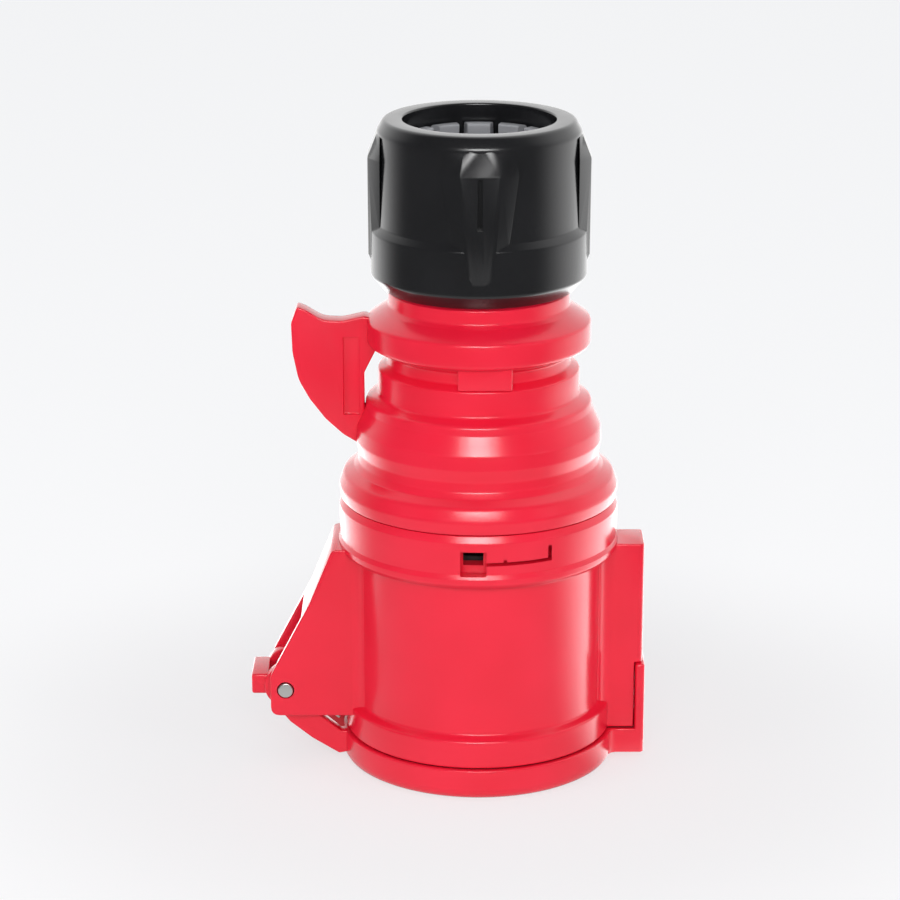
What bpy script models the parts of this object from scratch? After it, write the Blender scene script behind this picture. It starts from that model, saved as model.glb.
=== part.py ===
"""Five pole pin and sleeve cable socket, standing on its closed lid.

The socket's axis is Z. The lid's outer face lies at z = 0 and the cable gland is at the top.
The hinge is on the -X side, the keyway on the +X side, and the release window faces -Y.
"""
import math

import bmesh
import bpy
from mathutils import Matrix

MM = 0.001
GAP = 0.3 * MM
CUT_MARGIN = 1.0 * MM

# Facets round the housings, the rings and the small pieces
LARGE_STEPS = 42
RING_STEPS = 32
SMALL_STEPS = 12
SCREW_STEPS = 10

# Lid
LID_OVERHANG = 1.0 * MM
LID_HEIGHT = 9.0 * MM
LID_PLATE = 3.2 * MM
LID_BEVEL = 2.6 * MM
LID_EXTENSION_BOTTOM = 1.8 * MM
LID_FILLET = 2.5 * MM
LID_TAB_HALF_WIDTH = 8.0 * MM
LID_TAB_THICKNESS = 2.7 * MM
LID_TAB_BOTTOM = 5.0 * MM
LID_TAB_TOP = 24.0 * MM
LID_GASKET_THICKNESS = 2.9 * MM
LID_GASKET_LIP = 0.2 * MM
LID_GASKET_WIDTH = 4.3 * MM
LID_GASKET_STEP = 1.2 * MM

# Front housing
PLUG_CAVITY_RADIUS = 32.5 * MM
PLUG_DEPTH = 47.7 * MM
FRONT_WALL = 3.2 * MM
MOUTH_BAND_WALL = 5.7 * MM
MOUTH_BAND_LENGTH = 7.9 * MM
MOUTH_LEAD_IN = 0.8 * MM
LEDGE_THICKNESS = 3.0 * MM
LEDGE_REACH = 3.5 * MM
COLLAR_WALL = 3.6 * MM
COLLAR_FLOOR = 2.2 * MM
COLLAR_CHAMFER = 0.8 * MM
STEP_SLOPE = 1.2 * MM
BASE_FILLET = 5.0 * MM
FRONT_TOP_DROP = 0.4 * MM

# Keyway bulge
KEYWAY_HALF_WIDTH = 4.2 * MM
KEYWAY_DEPTH = 10.1 * MM
KEYWAY_SIDE_WALL = 2.8 * MM
KEYWAY_END_WALL = 4.7 * MM
KEYWAY_TAB_SEAT_WALL = 2.4 * MM
BULGE_CHAMFER = 0.9 * MM

# Hinge
HINGE_OFFSET = 22.8 * MM
HINGE_Z = 22.8 * MM
PIN_RADIUS = 2.2 * MM
PIN_STAND_OUT = 0.4 * MM
PIN_CHAMFER = 0.4 * MM
BRACKET_HALF_WIDTH = 12.5 * MM
EAR_THICKNESS = 2.7 * MM
EAR_DROP = 7.8 * MM
EAR_REACH = 4.3 * MM
EAR_CORNER = 2.5 * MM
BRACKET_TOP_INSET = 13.7 * MM
BRACKET_BEND_INSET = 7.0 * MM
BRACKET_BEND_RISE = 26.0 * MM
BRACKET_CORNER = 0.5 * MM
HOOD_RISE = 21.2 * MM
HOOD_TOP_DEPTH = 7.0 * MM
HOOD_WALL = 2.4 * MM
KNUCKLE_RADIUS = 6.2 * MM
KNUCKLE_WIDTH = 4.3 * MM
ARM_DEPTH = 6.0 * MM
ARM_RISE = 5.0 * MM
ARM_FOOT = 0.4 * MM
ARM_INSET = 0.2 * MM
HEEL_REACH = 10.0 * MM
HEEL_LENGTH = 5.0 * MM
HEEL_HALF_WIDTH = 7.5 * MM
HEEL_THICKNESS = 6.0 * MM

# Lid spring
SPRING_WIRE = 1.2 * MM
SPRING_TURNS = 4
SPRING_TURN_POINTS = 8
SPRING_CLEARANCE = 0.5 * MM
SPRING_LEG_RISE = 15.0 * MM

# Release window and slot in the collar
WINDOW_LEFT = -5.3 * MM
WINDOW_RIGHT = 1.9 * MM
WINDOW_BOTTOM_ABOVE_SHOULDER = 1.1 * MM
WINDOW_HEIGHT = 7.2 * MM
SPIGOT_WINDOW_INSET = 0.8 * MM
SLOT_WIDTH = 1.0 * MM
SLOT_RIGHT = 20.0 * MM
SLOT_RISE = 4.5 * MM
DETENT_LEFT = 6.6 * MM
DETENT_WIDTH = 1.0 * MM
DETENT_RISE = 1.8 * MM

# Contact carrier and terminal plate
PLUG_SHROUD_SPACE = 4.5 * MM
CARRIER_SET_BACK = 5.2 * MM
CARRIER_CHAMFER = 0.8 * MM
CARRIER_FLANGE_THICKNESS = 5.3 * MM
FACE_PLATE_THICKNESS = 3.2 * MM
CONTACT_RIM = 8.0 * MM
TERMINAL_PLATE_THICKNESS = 4.0 * MM
CARRIER_SCREW_OFFSET = 6.0 * MM
CARRIER_SCREW_RADIUS = 1.5 * MM
CARRIER_SCREW_HEAD_RADIUS = 2.8 * MM
CARRIER_SCREW_HEAD_HEIGHT = 2.2 * MM
CARRIER_SCREW_DEPTH = 11.0 * MM

# Contacts: the phase and neutral sleeves take a 6 mm pin and the earth sleeve an 8 mm pin
PHASE_PIN_BORE = 3.1 * MM
EARTH_PIN_BORE = 4.1 * MM
SLEEVE_WALL = 1.1 * MM
SLEEVE_CHAMFER = 0.5 * MM
PIN_HOLE_PLAY = 0.2 * MM
SLEEVE_DEPTH = 27.7 * MM
SLEEVE_SLIT = 0.8 * MM
SLEEVE_SLIT_LENGTH = 21.0 * MM
CONTACT_FLANGE_STEP = 2.0 * MM
CONTACT_FLANGE_THICKNESS = 5.3 * MM
BARREL_LENGTH = 18.4 * MM
BARREL_STEP = 0.6 * MM
WIRE_BORE = 3.0 * MM
WIRE_DEPTH = 13.0 * MM
SPRING_RING_THICKNESS = 0.6 * MM
SPRING_RING_LENGTH = 5.0 * MM
SPRING_RING_OFFSET = 1.7 * MM
TERMINAL_SCREW_RADIUS = 2.0 * MM
TERMINAL_SCREW_HEAD_RADIUS = 3.0 * MM
TERMINAL_SCREW_HEAD_HEIGHT = 2.5 * MM
TERMINAL_SCREW_TIP = 1.5 * MM
TERMINAL_SCREW_FROM_END = 6.0 * MM

# Rear housing, with heights above the flange's lower face
SPIGOT_LENGTH = 12.7 * MM
REAR_WALL = 3.0 * MM
SPIGOT_LIP = 1.5 * MM
SPIGOT_LIP_LENGTH = 2.7 * MM
FLANGE_STEP = 4.4 * MM
FLANGE_STRAIGHT = 3.6 * MM
FLANGE_SHOULDER_STEP = 1.8 * MM
FLANGE_SHOULDER_RISE = 3.6 * MM
FLANGE_ROUND_RISE = 1.8 * MM
WAIST_STEP = 6.0 * MM
WAIST_FOOT = 1.3 * MM
WAIST_RISE = 4.4 * MM
DRUM_STEP = 0.7 * MM
DRUM_DRAFT = 0.3 * MM
DRUM_RISE = 3.6 * MM
DRUM_LENGTH = 5.2 * MM
UPPER_DRUM_STEP = 3.0 * MM
UPPER_DRUM_RISE = 2.8 * MM
UPPER_DRUM_LENGTH = 3.6 * MM
TIER_STEP = 3.4 * MM
TIER_RISE = 1.7 * MM
TIER_LENGTH = 7.3 * MM
GROOVE_STEP = 1.2 * MM
GROOVE_RISE = 1.5 * MM
GROOVE_LENGTH = 3.3 * MM
RING_STEP = 6.9 * MM
RING_RISE = 2.6 * MM
RING_LENGTH = 6.7 * MM
NECK_STEP = 0.9 * MM
NECK_FOOT = 1.3 * MM
NECK_RISE = 4.3 * MM
NECK_LENGTH = 4.6 * MM
SEAL_SECTION = 1.5 * MM
SEAL_POCKET_DEPTH = 2.8 * MM

# Fin lug under the ring, on the hinge side
FIN_THICKNESS = 6.4 * MM
FIN_ROOT = 4.0 * MM
FIN_REACH = 21.2 * MM
FIN_DROP = 33.6 * MM
FIN_INNER_GAP = 0.7 * MM
FIN_ARM_THICKNESS = 15.4 * MM
FIN_TIP_RISE = 3.7 * MM
FIN_RECESS = 1.0 * MM
FIN_RECESS_WIDTH = 4.6 * MM

# Block in the groove under the ring
BLOCK_LEFT = -6.0 * MM
BLOCK_RIGHT = 9.0 * MM
BLOCK_STAND_OUT = 2.8 * MM

# Threaded spigot, cable seal and clamp cage
THREAD_RADIUS = 24.6 * MM
THREAD_LENGTH = 22.8 * MM
GLAND_WALL = 4.0 * MM
SEAT_DEPTH = 19.0 * MM
SEAT_STEP = 2.0 * MM
CABLE_BORE = 11.2 * MM
SEAL_LEAD_IN = 1.6 * MM
CAGE_BASE_THICKNESS = 2.7 * MM
CAGE_STEP = 3.6 * MM
CAGE_WALL = 3.4 * MM
FINGER_LENGTH = 17.0 * MM
FINGER_TAPER = 0.9 * MM
FINGER_TIP = 4.0 * MM
FINGER_SLOTS = 12
FINGER_SLOT_WIDTH = 2.4 * MM
PRESSURE_RING_THICKNESS = 2.7 * MM

# Gland nut, with heights above its lower face
NUT_HEIGHT = 47.5 * MM
NUT_WALL = 3.3 * MM
NUT_THREAD_PLAY = 0.6 * MM
NUT_SKIRT_STEP = 1.7 * MM
NUT_SKIRT_EDGE = 1.7 * MM
NUT_SKIRT_CHAMFER = 4.0 * MM
NUT_SKIRT_TOP = 16.5 * MM
NUT_SKIRT_SLOPE = 2.0 * MM
NUT_TOP_STEP = 2.1 * MM
NUT_TOP_ROUND = 5.0 * MM
NUT_CONE_STEP = 1.3 * MM
NUT_CONE_LENGTH = 11.5 * MM
RIB_STEP = 2.4 * MM
RIB_SLOPE = 3.0 * MM
RIB_TOP = 35.5 * MM
RIB_BOTTOM = 6.5 * MM
RIB_TOP_HALF_WIDTH = 7.2 * MM
RIB_BOTTOM_HALF_WIDTH = 2.2 * MM
RIB_SLIT_WIDTH = 1.4 * MM
RIB_SLIT_LENGTH = 13.0 * MM
RIB_SLIT_DEPTH = 1.6 * MM

# Heights along the axis that follow from the sizes above
MOUTH_Z = LID_HEIGHT + GAP
LEDGE_Z = MOUTH_Z + PLUG_DEPTH
LEDGE_TOP = LEDGE_Z + LEDGE_THICKNESS
CARRIER_FLANGE_Z = LEDGE_TOP + GAP
CARRIER_BACK = CARRIER_FLANGE_Z + CARRIER_FLANGE_THICKNESS
CARRIER_FACE = MOUTH_Z + CARRIER_SET_BACK
SPIGOT_END = CARRIER_BACK + GAP
FRONT_TOP = CARRIER_BACK - FRONT_TOP_DROP
FLANGE_Z = SPIGOT_END + SPIGOT_LENGTH
COLLAR_TOP = FLANGE_Z - GAP
PLATE_TOP = SPIGOT_END + TERMINAL_PLATE_THICKNESS
CARRIER_FRONT = CARRIER_FACE + FACE_PLATE_THICKNESS + GAP
CONTACT_FRONT = CARRIER_FRONT + GAP
BARREL_TOP = CARRIER_BACK + BARREL_LENGTH
FLANGE_SHOULDER_HEIGHT = FLANGE_STRAIGHT + FLANGE_SHOULDER_RISE
FLANGE_TOP = FLANGE_SHOULDER_HEIGHT + FLANGE_ROUND_RISE
WAIST_HEIGHT = FLANGE_TOP + WAIST_RISE
DRUM_BOTTOM = WAIST_HEIGHT + DRUM_RISE
DRUM_TOP = DRUM_BOTTOM + DRUM_LENGTH
UPPER_DRUM_BOTTOM = DRUM_TOP + UPPER_DRUM_RISE
UPPER_DRUM_TOP = UPPER_DRUM_BOTTOM + UPPER_DRUM_LENGTH
TIER_BOTTOM = UPPER_DRUM_TOP + TIER_RISE
TIER_TOP = TIER_BOTTOM + TIER_LENGTH
GROOVE_BOTTOM = TIER_TOP + GROOVE_RISE
GROOVE_TOP = GROOVE_BOTTOM + GROOVE_LENGTH
RING_BOTTOM = GROOVE_TOP + RING_RISE
RING_TOP = RING_BOTTOM + RING_LENGTH
NECK_BOTTOM = RING_TOP + NECK_RISE
NECK_TOP = NECK_BOTTOM + NECK_LENGTH
NECK_END = FLANGE_Z + NECK_TOP
NUT_Z = NECK_END + GAP
THREAD_TOP = NECK_END + THREAD_LENGTH
SEAT_Z = THREAD_TOP - SEAT_DEPTH
CAGE_Z = THREAD_TOP + GAP
CAGE_BASE_TOP = CAGE_Z + CAGE_BASE_THICKNESS
PRESSURE_RING_Z = CAGE_BASE_TOP + GAP
NUT_SHOULDER_Z = PRESSURE_RING_Z + PRESSURE_RING_THICKNESS + GAP
NUT_TOP = NUT_Z + NUT_HEIGHT

# Radii and reaches that follow
FRONT_RADIUS = PLUG_CAVITY_RADIUS + FRONT_WALL
WALL_MIDDLE = PLUG_CAVITY_RADIUS + FRONT_WALL / 2
MOUTH_BAND_RADIUS = PLUG_CAVITY_RADIUS + MOUTH_BAND_WALL
LID_RADIUS = MOUTH_BAND_RADIUS + LID_OVERHANG
CARRIER_RADIUS = PLUG_CAVITY_RADIUS - PLUG_SHROUD_SPACE
CONTACT_CIRCLE_RADIUS = CARRIER_RADIUS - CONTACT_RIM
KEYWAY_REACH = PLUG_CAVITY_RADIUS + KEYWAY_DEPTH
HINGE_X = -(PLUG_CAVITY_RADIUS + HINGE_OFFSET)
EAR_BOTTOM = HINGE_Z - EAR_DROP
BRACKET_TOP_X = HINGE_X + BRACKET_TOP_INSET
BRACKET_BEND_X = HINGE_X + BRACKET_BEND_INSET
BRACKET_BEND_Z = HINGE_Z + BRACKET_BEND_RISE
HOOD_BOTTOM = HINGE_Z + HOOD_RISE
SPIGOT_RADIUS = FRONT_RADIUS
FLANGE_RADIUS = SPIGOT_RADIUS + FLANGE_STEP
FLANGE_SHOULDER_RADIUS = FLANGE_RADIUS - FLANGE_SHOULDER_STEP
WAIST_RADIUS = FLANGE_RADIUS - WAIST_STEP
DRUM_RADIUS = WAIST_RADIUS + DRUM_STEP
UPPER_DRUM_RADIUS = DRUM_RADIUS - UPPER_DRUM_STEP
TIER_RADIUS = UPPER_DRUM_RADIUS - TIER_STEP
GROOVE_RADIUS = THREAD_RADIUS + GROOVE_STEP
RING_RADIUS = THREAD_RADIUS + RING_STEP
NECK_RADIUS = THREAD_RADIUS + NECK_STEP
FIN_INNER_X = -(RING_RADIUS + FIN_INNER_GAP)
CAGE_RADIUS = THREAD_RADIUS - CAGE_STEP
COLLAR_BORE = SPIGOT_RADIUS + GAP
COLLAR_RADIUS = COLLAR_BORE + COLLAR_WALL
BULGE_HALF_WIDTH = KEYWAY_HALF_WIDTH + KEYWAY_SIDE_WALL
BULGE_REACH = KEYWAY_REACH + KEYWAY_END_WALL
TAB_SEAT_X = KEYWAY_REACH + KEYWAY_TAB_SEAT_WALL
TAB_INNER_X = TAB_SEAT_X + GAP
TAB_OUTER_X = TAB_INNER_X + LID_TAB_THICKNESS
GASKET_INNER = PLUG_CAVITY_RADIUS + LID_GASKET_LIP
GASKET_OUTER = GASKET_INNER + LID_GASKET_WIDTH
GASKET_Z = LID_HEIGHT - LID_GASKET_THICKNESS
GASKET_FLOOR = GASKET_Z - GAP
GLAND_BORE = THREAD_RADIUS - GLAND_WALL
NUT_BORE = THREAD_RADIUS + NUT_THREAD_PLAY
NUT_RADIUS = NUT_BORE + NUT_WALL
NUT_SKIRT_RADIUS = NUT_RADIUS + NUT_SKIRT_STEP
NUT_TOP_RADIUS = NUT_RADIUS - NUT_TOP_STEP
NUT_OPENING_RADIUS = CAGE_RADIUS + GAP
RIB_RADIUS = NUT_RADIUS + RIB_STEP
CAGE_BORE = CAGE_RADIUS - CAGE_WALL
CONTACT_NAMES = ["L1", "L2", "L3", "N", "PE"]


def clear_scene():
    for thing in list(bpy.data.objects):
        bpy.data.objects.remove(thing, do_unlink=True)


def new_collection(name):
    collection = bpy.data.collections.new(name)
    bpy.context.scene.collection.children.link(collection)
    return collection


def plain_material(name, colour, roughness, metallic=0.0):
    material = bpy.data.materials.new(name)
    material.use_nodes = True
    shader = material.node_tree.nodes["Principled BSDF"]
    shader.inputs["Base Color"].default_value = (*colour, 1.0)
    shader.inputs["Roughness"].default_value = roughness
    shader.inputs["Metallic"].default_value = metallic
    return material


def add_object(name, mesh, collection):
    thing = bpy.data.objects.new(name, mesh)
    collection.objects.link(thing)
    return thing


def make_cutter(thing):
    """Hides a helper shape, which only cuts, joins or trims a piece."""
    for collection in list(thing.users_collection):
        collection.objects.unlink(thing)
    CUTTERS.objects.link(thing)
    thing.hide_render = True
    thing.display_type = "WIRE"
    return thing


def combine(target, helper, operation):
    make_cutter(helper)
    modifier = target.modifiers.new(helper.name, "BOOLEAN")
    modifier.operation = operation
    modifier.solver = "EXACT"
    modifier.object = helper


def cut(target, *helpers):
    for helper in helpers:
        combine(target, helper, "DIFFERENCE")


def join(target, *helpers):
    for helper in helpers:
        combine(target, helper, "UNION")


def trim(target, helper):
    combine(target, helper, "INTERSECT")


def turned(name, profile, steps=LARGE_STEPS):
    """Turns (radius, height) points about Z; a profile that starts and ends on the axis stays open."""
    mesh = bpy.data.meshes.new(name)
    bm = bmesh.new()
    vertices = [bm.verts.new((radius, 0.0, height)) for radius, height in profile]
    for first, second in zip(vertices, vertices[1:]):
        bm.edges.new((first, second))
    if profile[0][0] > 0.0 or profile[-1][0] > 0.0:
        bm.edges.new((vertices[-1], vertices[0]))
    bm.to_mesh(mesh)
    bm.free()
    thing = add_object(name, mesh, PARTS)
    screw = thing.modifiers.new("turn", "SCREW")
    screw.axis = "Z"
    screw.steps = steps
    screw.render_steps = steps
    screw.use_merge_vertices = True
    screw.merge_threshold = 0.00001
    screw.use_smooth_shade = True
    return thing


def box(name, low, high):
    """A block between two corners."""
    mesh = bpy.data.meshes.new(name)
    bm = bmesh.new()
    bmesh.ops.create_cube(bm, size=1.0)
    size = [b - a for a, b in zip(low, high)]
    centre = [(a + b) / 2 for a, b in zip(low, high)]
    bmesh.ops.transform(bm, matrix=Matrix.Translation(centre) @ Matrix.Diagonal((*size, 1.0)), verts=bm.verts)
    bm.to_mesh(mesh)
    bm.free()
    return add_object(name, mesh, PARTS)


def rod_along_y(name, radius, low, high, x, z, steps=24):
    """A round rod from y = low to y = high."""
    mesh = bpy.data.meshes.new(name)
    bm = bmesh.new()
    bmesh.ops.create_cone(bm, cap_ends=True, segments=steps, radius1=radius, radius2=radius, depth=high - low)
    turn = Matrix.Rotation(math.radians(90.0), 4, "X")
    bmesh.ops.transform(bm, matrix=Matrix.Translation((x, (low + high) / 2, z)) @ turn, verts=bm.verts)
    bm.to_mesh(mesh)
    bm.free()
    return add_object(name, mesh, PARTS)


def meshed(curve_object):
    """Changes a curve object into a mesh object with its caps welded on."""
    bpy.context.view_layer.update()
    evaluated = curve_object.evaluated_get(bpy.context.evaluated_depsgraph_get())
    mesh = bpy.data.meshes.new_from_object(evaluated)
    bm = bmesh.new()
    bm.from_mesh(mesh)
    bmesh.ops.remove_doubles(bm, verts=bm.verts, dist=0.000001)
    bmesh.ops.recalc_face_normals(bm, faces=bm.faces)
    bm.to_mesh(mesh)
    bm.free()
    name = curve_object.name
    matrix = curve_object.matrix_world.copy()
    bpy.data.objects.remove(curve_object, do_unlink=True)
    thing = add_object(name, mesh, PARTS)
    thing.matrix_world = matrix
    return thing


def plate(name, outlines, low, high, plane="XY"):
    """A flat shape between two levels of the axis that its plane leaves out."""
    curve = bpy.data.curves.new(name, "CURVE")
    curve.dimensions = "2D"
    curve.fill_mode = "BOTH"
    curve.extrude = (high - low) / 2
    for outline in outlines:
        spline = curve.splines.new("POLY")
        spline.points.add(len(outline) - 1)
        for point, (a, b) in zip(spline.points, outline):
            point.co = (a, b, 0.0, 1.0)
        spline.use_cyclic_u = True
    thing = add_object(name, curve, PARTS)
    middle = (low + high) / 2
    quarter = math.radians(90.0)
    if plane == "XY":
        thing.matrix_world = Matrix.Translation((0.0, 0.0, middle))
    elif plane == "XZ":
        thing.matrix_world = Matrix.Translation((0.0, middle, 0.0)) @ Matrix.Rotation(quarter, 4, "X")
    else:
        stand = Matrix.Rotation(quarter, 4, "Z") @ Matrix.Rotation(quarter, 4, "X")
        thing.matrix_world = Matrix.Translation((middle, 0.0, 0.0)) @ stand
    return meshed(thing)


def arc(centre, radius, start, end, count):
    """Points along an arc, with its angles in degrees."""
    points = []
    for index in range(count + 1):
        angle = math.radians(start + (end - start) * index / count)
        points.append((centre[0] + radius * math.cos(angle), centre[1] + radius * math.sin(angle)))
    return points


def keyed_outline(radius, half_width, reach, count):
    """A circle with a straight key out to x = reach."""
    start = math.degrees(math.asin(half_width / radius))
    return [(reach, -half_width), (reach, half_width)] + arc((0.0, 0.0), radius, start, 360.0 - start, count)


def footed_outline(radius, root, half_width, reach, fillet, chamfer):
    """A block standing out of a cylinder to x = reach, with fillets at its foot and a round root."""
    lean = math.asin((half_width + fillet) / (radius + fillet))
    centre_x = (radius + fillet) * math.cos(lean)
    centre_y = half_width + fillet
    tangent = 180.0 + math.degrees(lean)
    side = arc((centre_x, centre_y), fillet, tangent + 14.0, 270.0, 5)
    spread = math.degrees(math.asin(side[0][1] / radius))
    upper = side + [(reach - chamfer, half_width), (reach, half_width - chamfer)]
    lower = [(x, -y) for x, y in reversed(upper)]
    return upper + lower + arc((0.0, 0.0), root, -spread, spread, 6)


def mirrored_x(outline):
    return [(-x, y) for x, y in reversed(outline)]


def contact_place(index):
    """Centre of a contact: earth by the keyway, the others clockwise after it as seen in the mouth."""
    angle = math.radians(72.0 * (index + 1))
    return CONTACT_CIRCLE_RADIUS * math.cos(angle), CONTACT_CIRCLE_RADIUS * math.sin(angle), angle


def screw_place(side):
    """Centre of a carrier screw, on a line that runs between two contacts."""
    angle = math.radians(36.0)
    offset = side * CARRIER_SCREW_OFFSET
    return offset * math.cos(angle), offset * math.sin(angle), 0.0


def pin_bore(name):
    return EARTH_PIN_BORE if name == "PE" else PHASE_PIN_BORE


def sleeve_radius(name):
    return pin_bore(name) + SLEEVE_WALL


def bore_radius(name):
    return sleeve_radius(name) + GAP + SPRING_RING_THICKNESS + GAP


def barrel_radius(name):
    return sleeve_radius(name) + BARREL_STEP


def finish(thing, colour, roughness, metallic=0.0):
    thing.data.materials.append(plain_material(thing.name, colour, roughness, metallic))


RED = (0.78, 0.045, 0.065)
BLACK = (0.018, 0.018, 0.02)
GREY = (0.16, 0.16, 0.165)
RUBBER = (0.03, 0.03, 0.03)
STEEL = (0.62, 0.62, 0.6)
BRASS = (0.72, 0.52, 0.22)


def make_front_housing():
    housing = turned("front_housing", [
        (COLLAR_RADIUS, COLLAR_TOP),
        (COLLAR_RADIUS, CARRIER_BACK - COLLAR_FLOOR + STEP_SLOPE),
        (COLLAR_RADIUS - COLLAR_CHAMFER, CARRIER_BACK - COLLAR_FLOOR),
        (FRONT_RADIUS, CARRIER_BACK - COLLAR_FLOOR - STEP_SLOPE),
        (FRONT_RADIUS, MOUTH_Z + MOUTH_BAND_LENGTH + STEP_SLOPE),
        (MOUTH_BAND_RADIUS, MOUTH_Z + MOUTH_BAND_LENGTH),
        (MOUTH_BAND_RADIUS, MOUTH_Z),
        (PLUG_CAVITY_RADIUS + MOUTH_LEAD_IN, MOUTH_Z),
        (PLUG_CAVITY_RADIUS, MOUTH_Z + MOUTH_LEAD_IN),
        (PLUG_CAVITY_RADIUS, LEDGE_Z),
        (PLUG_CAVITY_RADIUS - LEDGE_REACH, LEDGE_Z),
        (PLUG_CAVITY_RADIUS - LEDGE_REACH, LEDGE_TOP),
        (PLUG_CAVITY_RADIUS, LEDGE_TOP),
        (PLUG_CAVITY_RADIUS, CARRIER_BACK),
        (COLLAR_BORE, CARRIER_BACK),
        (COLLAR_BORE, COLLAR_TOP - SEAL_POCKET_DEPTH),
        (COLLAR_BORE + SEAL_SECTION + GAP, COLLAR_TOP - SEAL_POCKET_DEPTH),
        (COLLAR_BORE + SEAL_SECTION + GAP, COLLAR_TOP),
    ])
    join(housing, make_bulge(), make_bracket())
    cut(housing, make_keyway_cutter(), make_tab_seat_cutter())
    side = BRACKET_HALF_WIDTH + CUT_MARGIN
    cut(housing, rod_along_y("pin_hole", PIN_RADIUS + GAP, -side, side, HINGE_X, HINGE_Z))
    cut(housing, *make_window_cutters())
    finish(housing, RED, 0.35)
    return housing


def make_bulge():
    outline = footed_outline(FRONT_RADIUS, WALL_MIDDLE, BULGE_HALF_WIDTH, BULGE_REACH, BASE_FILLET,
                             BULGE_CHAMFER)
    return plate("keyway_bulge", [outline], MOUTH_Z, FRONT_TOP)


def make_keyway_cutter():
    start = PLUG_CAVITY_RADIUS - LEDGE_REACH - CUT_MARGIN / 2
    low = (start, -KEYWAY_HALF_WIDTH, MOUTH_Z - CUT_MARGIN)
    return box("keyway", low, (KEYWAY_REACH, KEYWAY_HALF_WIDTH, LEDGE_Z))


def make_tab_seat_cutter():
    """Room on the bulge for the lid's thumb tab."""
    side = BULGE_HALF_WIDTH + CUT_MARGIN
    return box("tab_seat", (TAB_SEAT_X, -side, MOUTH_Z - CUT_MARGIN),
               (BULGE_REACH + CUT_MARGIN, side, LID_TAB_TOP + GAP))


def bracket_side():
    """The hinge bracket seen from the front: a flat foot, a rounded nose by the pin and a bent slope."""
    nose_x = HINGE_X - EAR_REACH
    foot = arc((nose_x + EAR_CORNER, EAR_BOTTOM + EAR_CORNER), EAR_CORNER, 270.0, 180.0, 4)
    slope = [(nose_x, HINGE_Z + EAR_REACH), (BRACKET_BEND_X, BRACKET_BEND_Z), (BRACKET_TOP_X, FRONT_TOP)]
    inner = -FRONT_RADIUS / 2
    return [(inner, EAR_BOTTOM)] + foot + slope + [(inner, FRONT_TOP)]


def make_bracket():
    """Two ears that carry the hinge pin, joined above it by a sloping hood."""
    reach = EAR_REACH - HINGE_X + BASE_FILLET
    foot = mirrored_x(footed_outline(FRONT_RADIUS, WALL_MIDDLE, BRACKET_HALF_WIDTH, reach, BASE_FILLET,
                                   BRACKET_CORNER))
    bracket = plate("hinge_bracket", [foot], EAR_BOTTOM - CUT_MARGIN, FRONT_TOP + CUT_MARGIN)
    half = BRACKET_HALF_WIDTH + 2 * BASE_FILLET
    side = plate("bracket_side", [bracket_side()], -half, half, "XZ")
    trim(bracket, side)
    cut(bracket, make_bracket_room())
    return bracket


def make_bracket_room():
    """The room between the ears, closed above by the hood."""
    inner = -(MOUTH_BAND_RADIUS + GAP)
    outer = HINGE_X - EAR_REACH - CUT_MARGIN
    lean = (BRACKET_TOP_X - BRACKET_BEND_X) / (FRONT_TOP - BRACKET_BEND_Z)
    hood_x = BRACKET_BEND_X + (HOOD_BOTTOM - BRACKET_BEND_Z) * lean + HOOD_WALL
    top_z = FRONT_TOP - HOOD_TOP_DEPTH
    top_x = min(inner - CUT_MARGIN, hood_x + (top_z - HOOD_BOTTOM) * lean)
    room = [(inner, EAR_BOTTOM - CUT_MARGIN), (outer, EAR_BOTTOM - CUT_MARGIN), (outer, HOOD_BOTTOM),
            (hood_x, HOOD_BOTTOM), (top_x, top_z), (inner, top_z)]
    half = BRACKET_HALF_WIDTH - EAR_THICKNESS
    return plate("bracket_room", [room], -half, half, "XZ")


def make_window_cutters():
    """The release window through the collar, and the thin bent slot beside it."""
    front = -COLLAR_RADIUS - CUT_MARGIN
    window_z = CARRIER_BACK + WINDOW_BOTTOM_ABOVE_SHOULDER
    slot_z = window_z + (WINDOW_HEIGHT - SLOT_WIDTH) / 2
    back = -SPIGOT_RADIUS * 0.8
    window_top = window_z + WINDOW_HEIGHT
    window = box("release_window", (WINDOW_LEFT, front, window_z), (WINDOW_RIGHT, back, window_top))
    slot_top = slot_z + SLOT_WIDTH
    end_left, end_top = SLOT_RIGHT - SLOT_WIDTH, slot_z + SLOT_RISE
    detent_right, detent_top = DETENT_LEFT + DETENT_WIDTH, slot_z + DETENT_RISE
    start = WINDOW_RIGHT - CUT_MARGIN
    slot = [(start, slot_z), (SLOT_RIGHT, slot_z), (SLOT_RIGHT, end_top), (end_left, end_top),
            (end_left, slot_top), (detent_right, slot_top), (detent_right, detent_top),
            (DETENT_LEFT, detent_top), (DETENT_LEFT, slot_top), (start, slot_top)]
    return window, plate("release_slot", [slot], front, back, "XZ")


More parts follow.
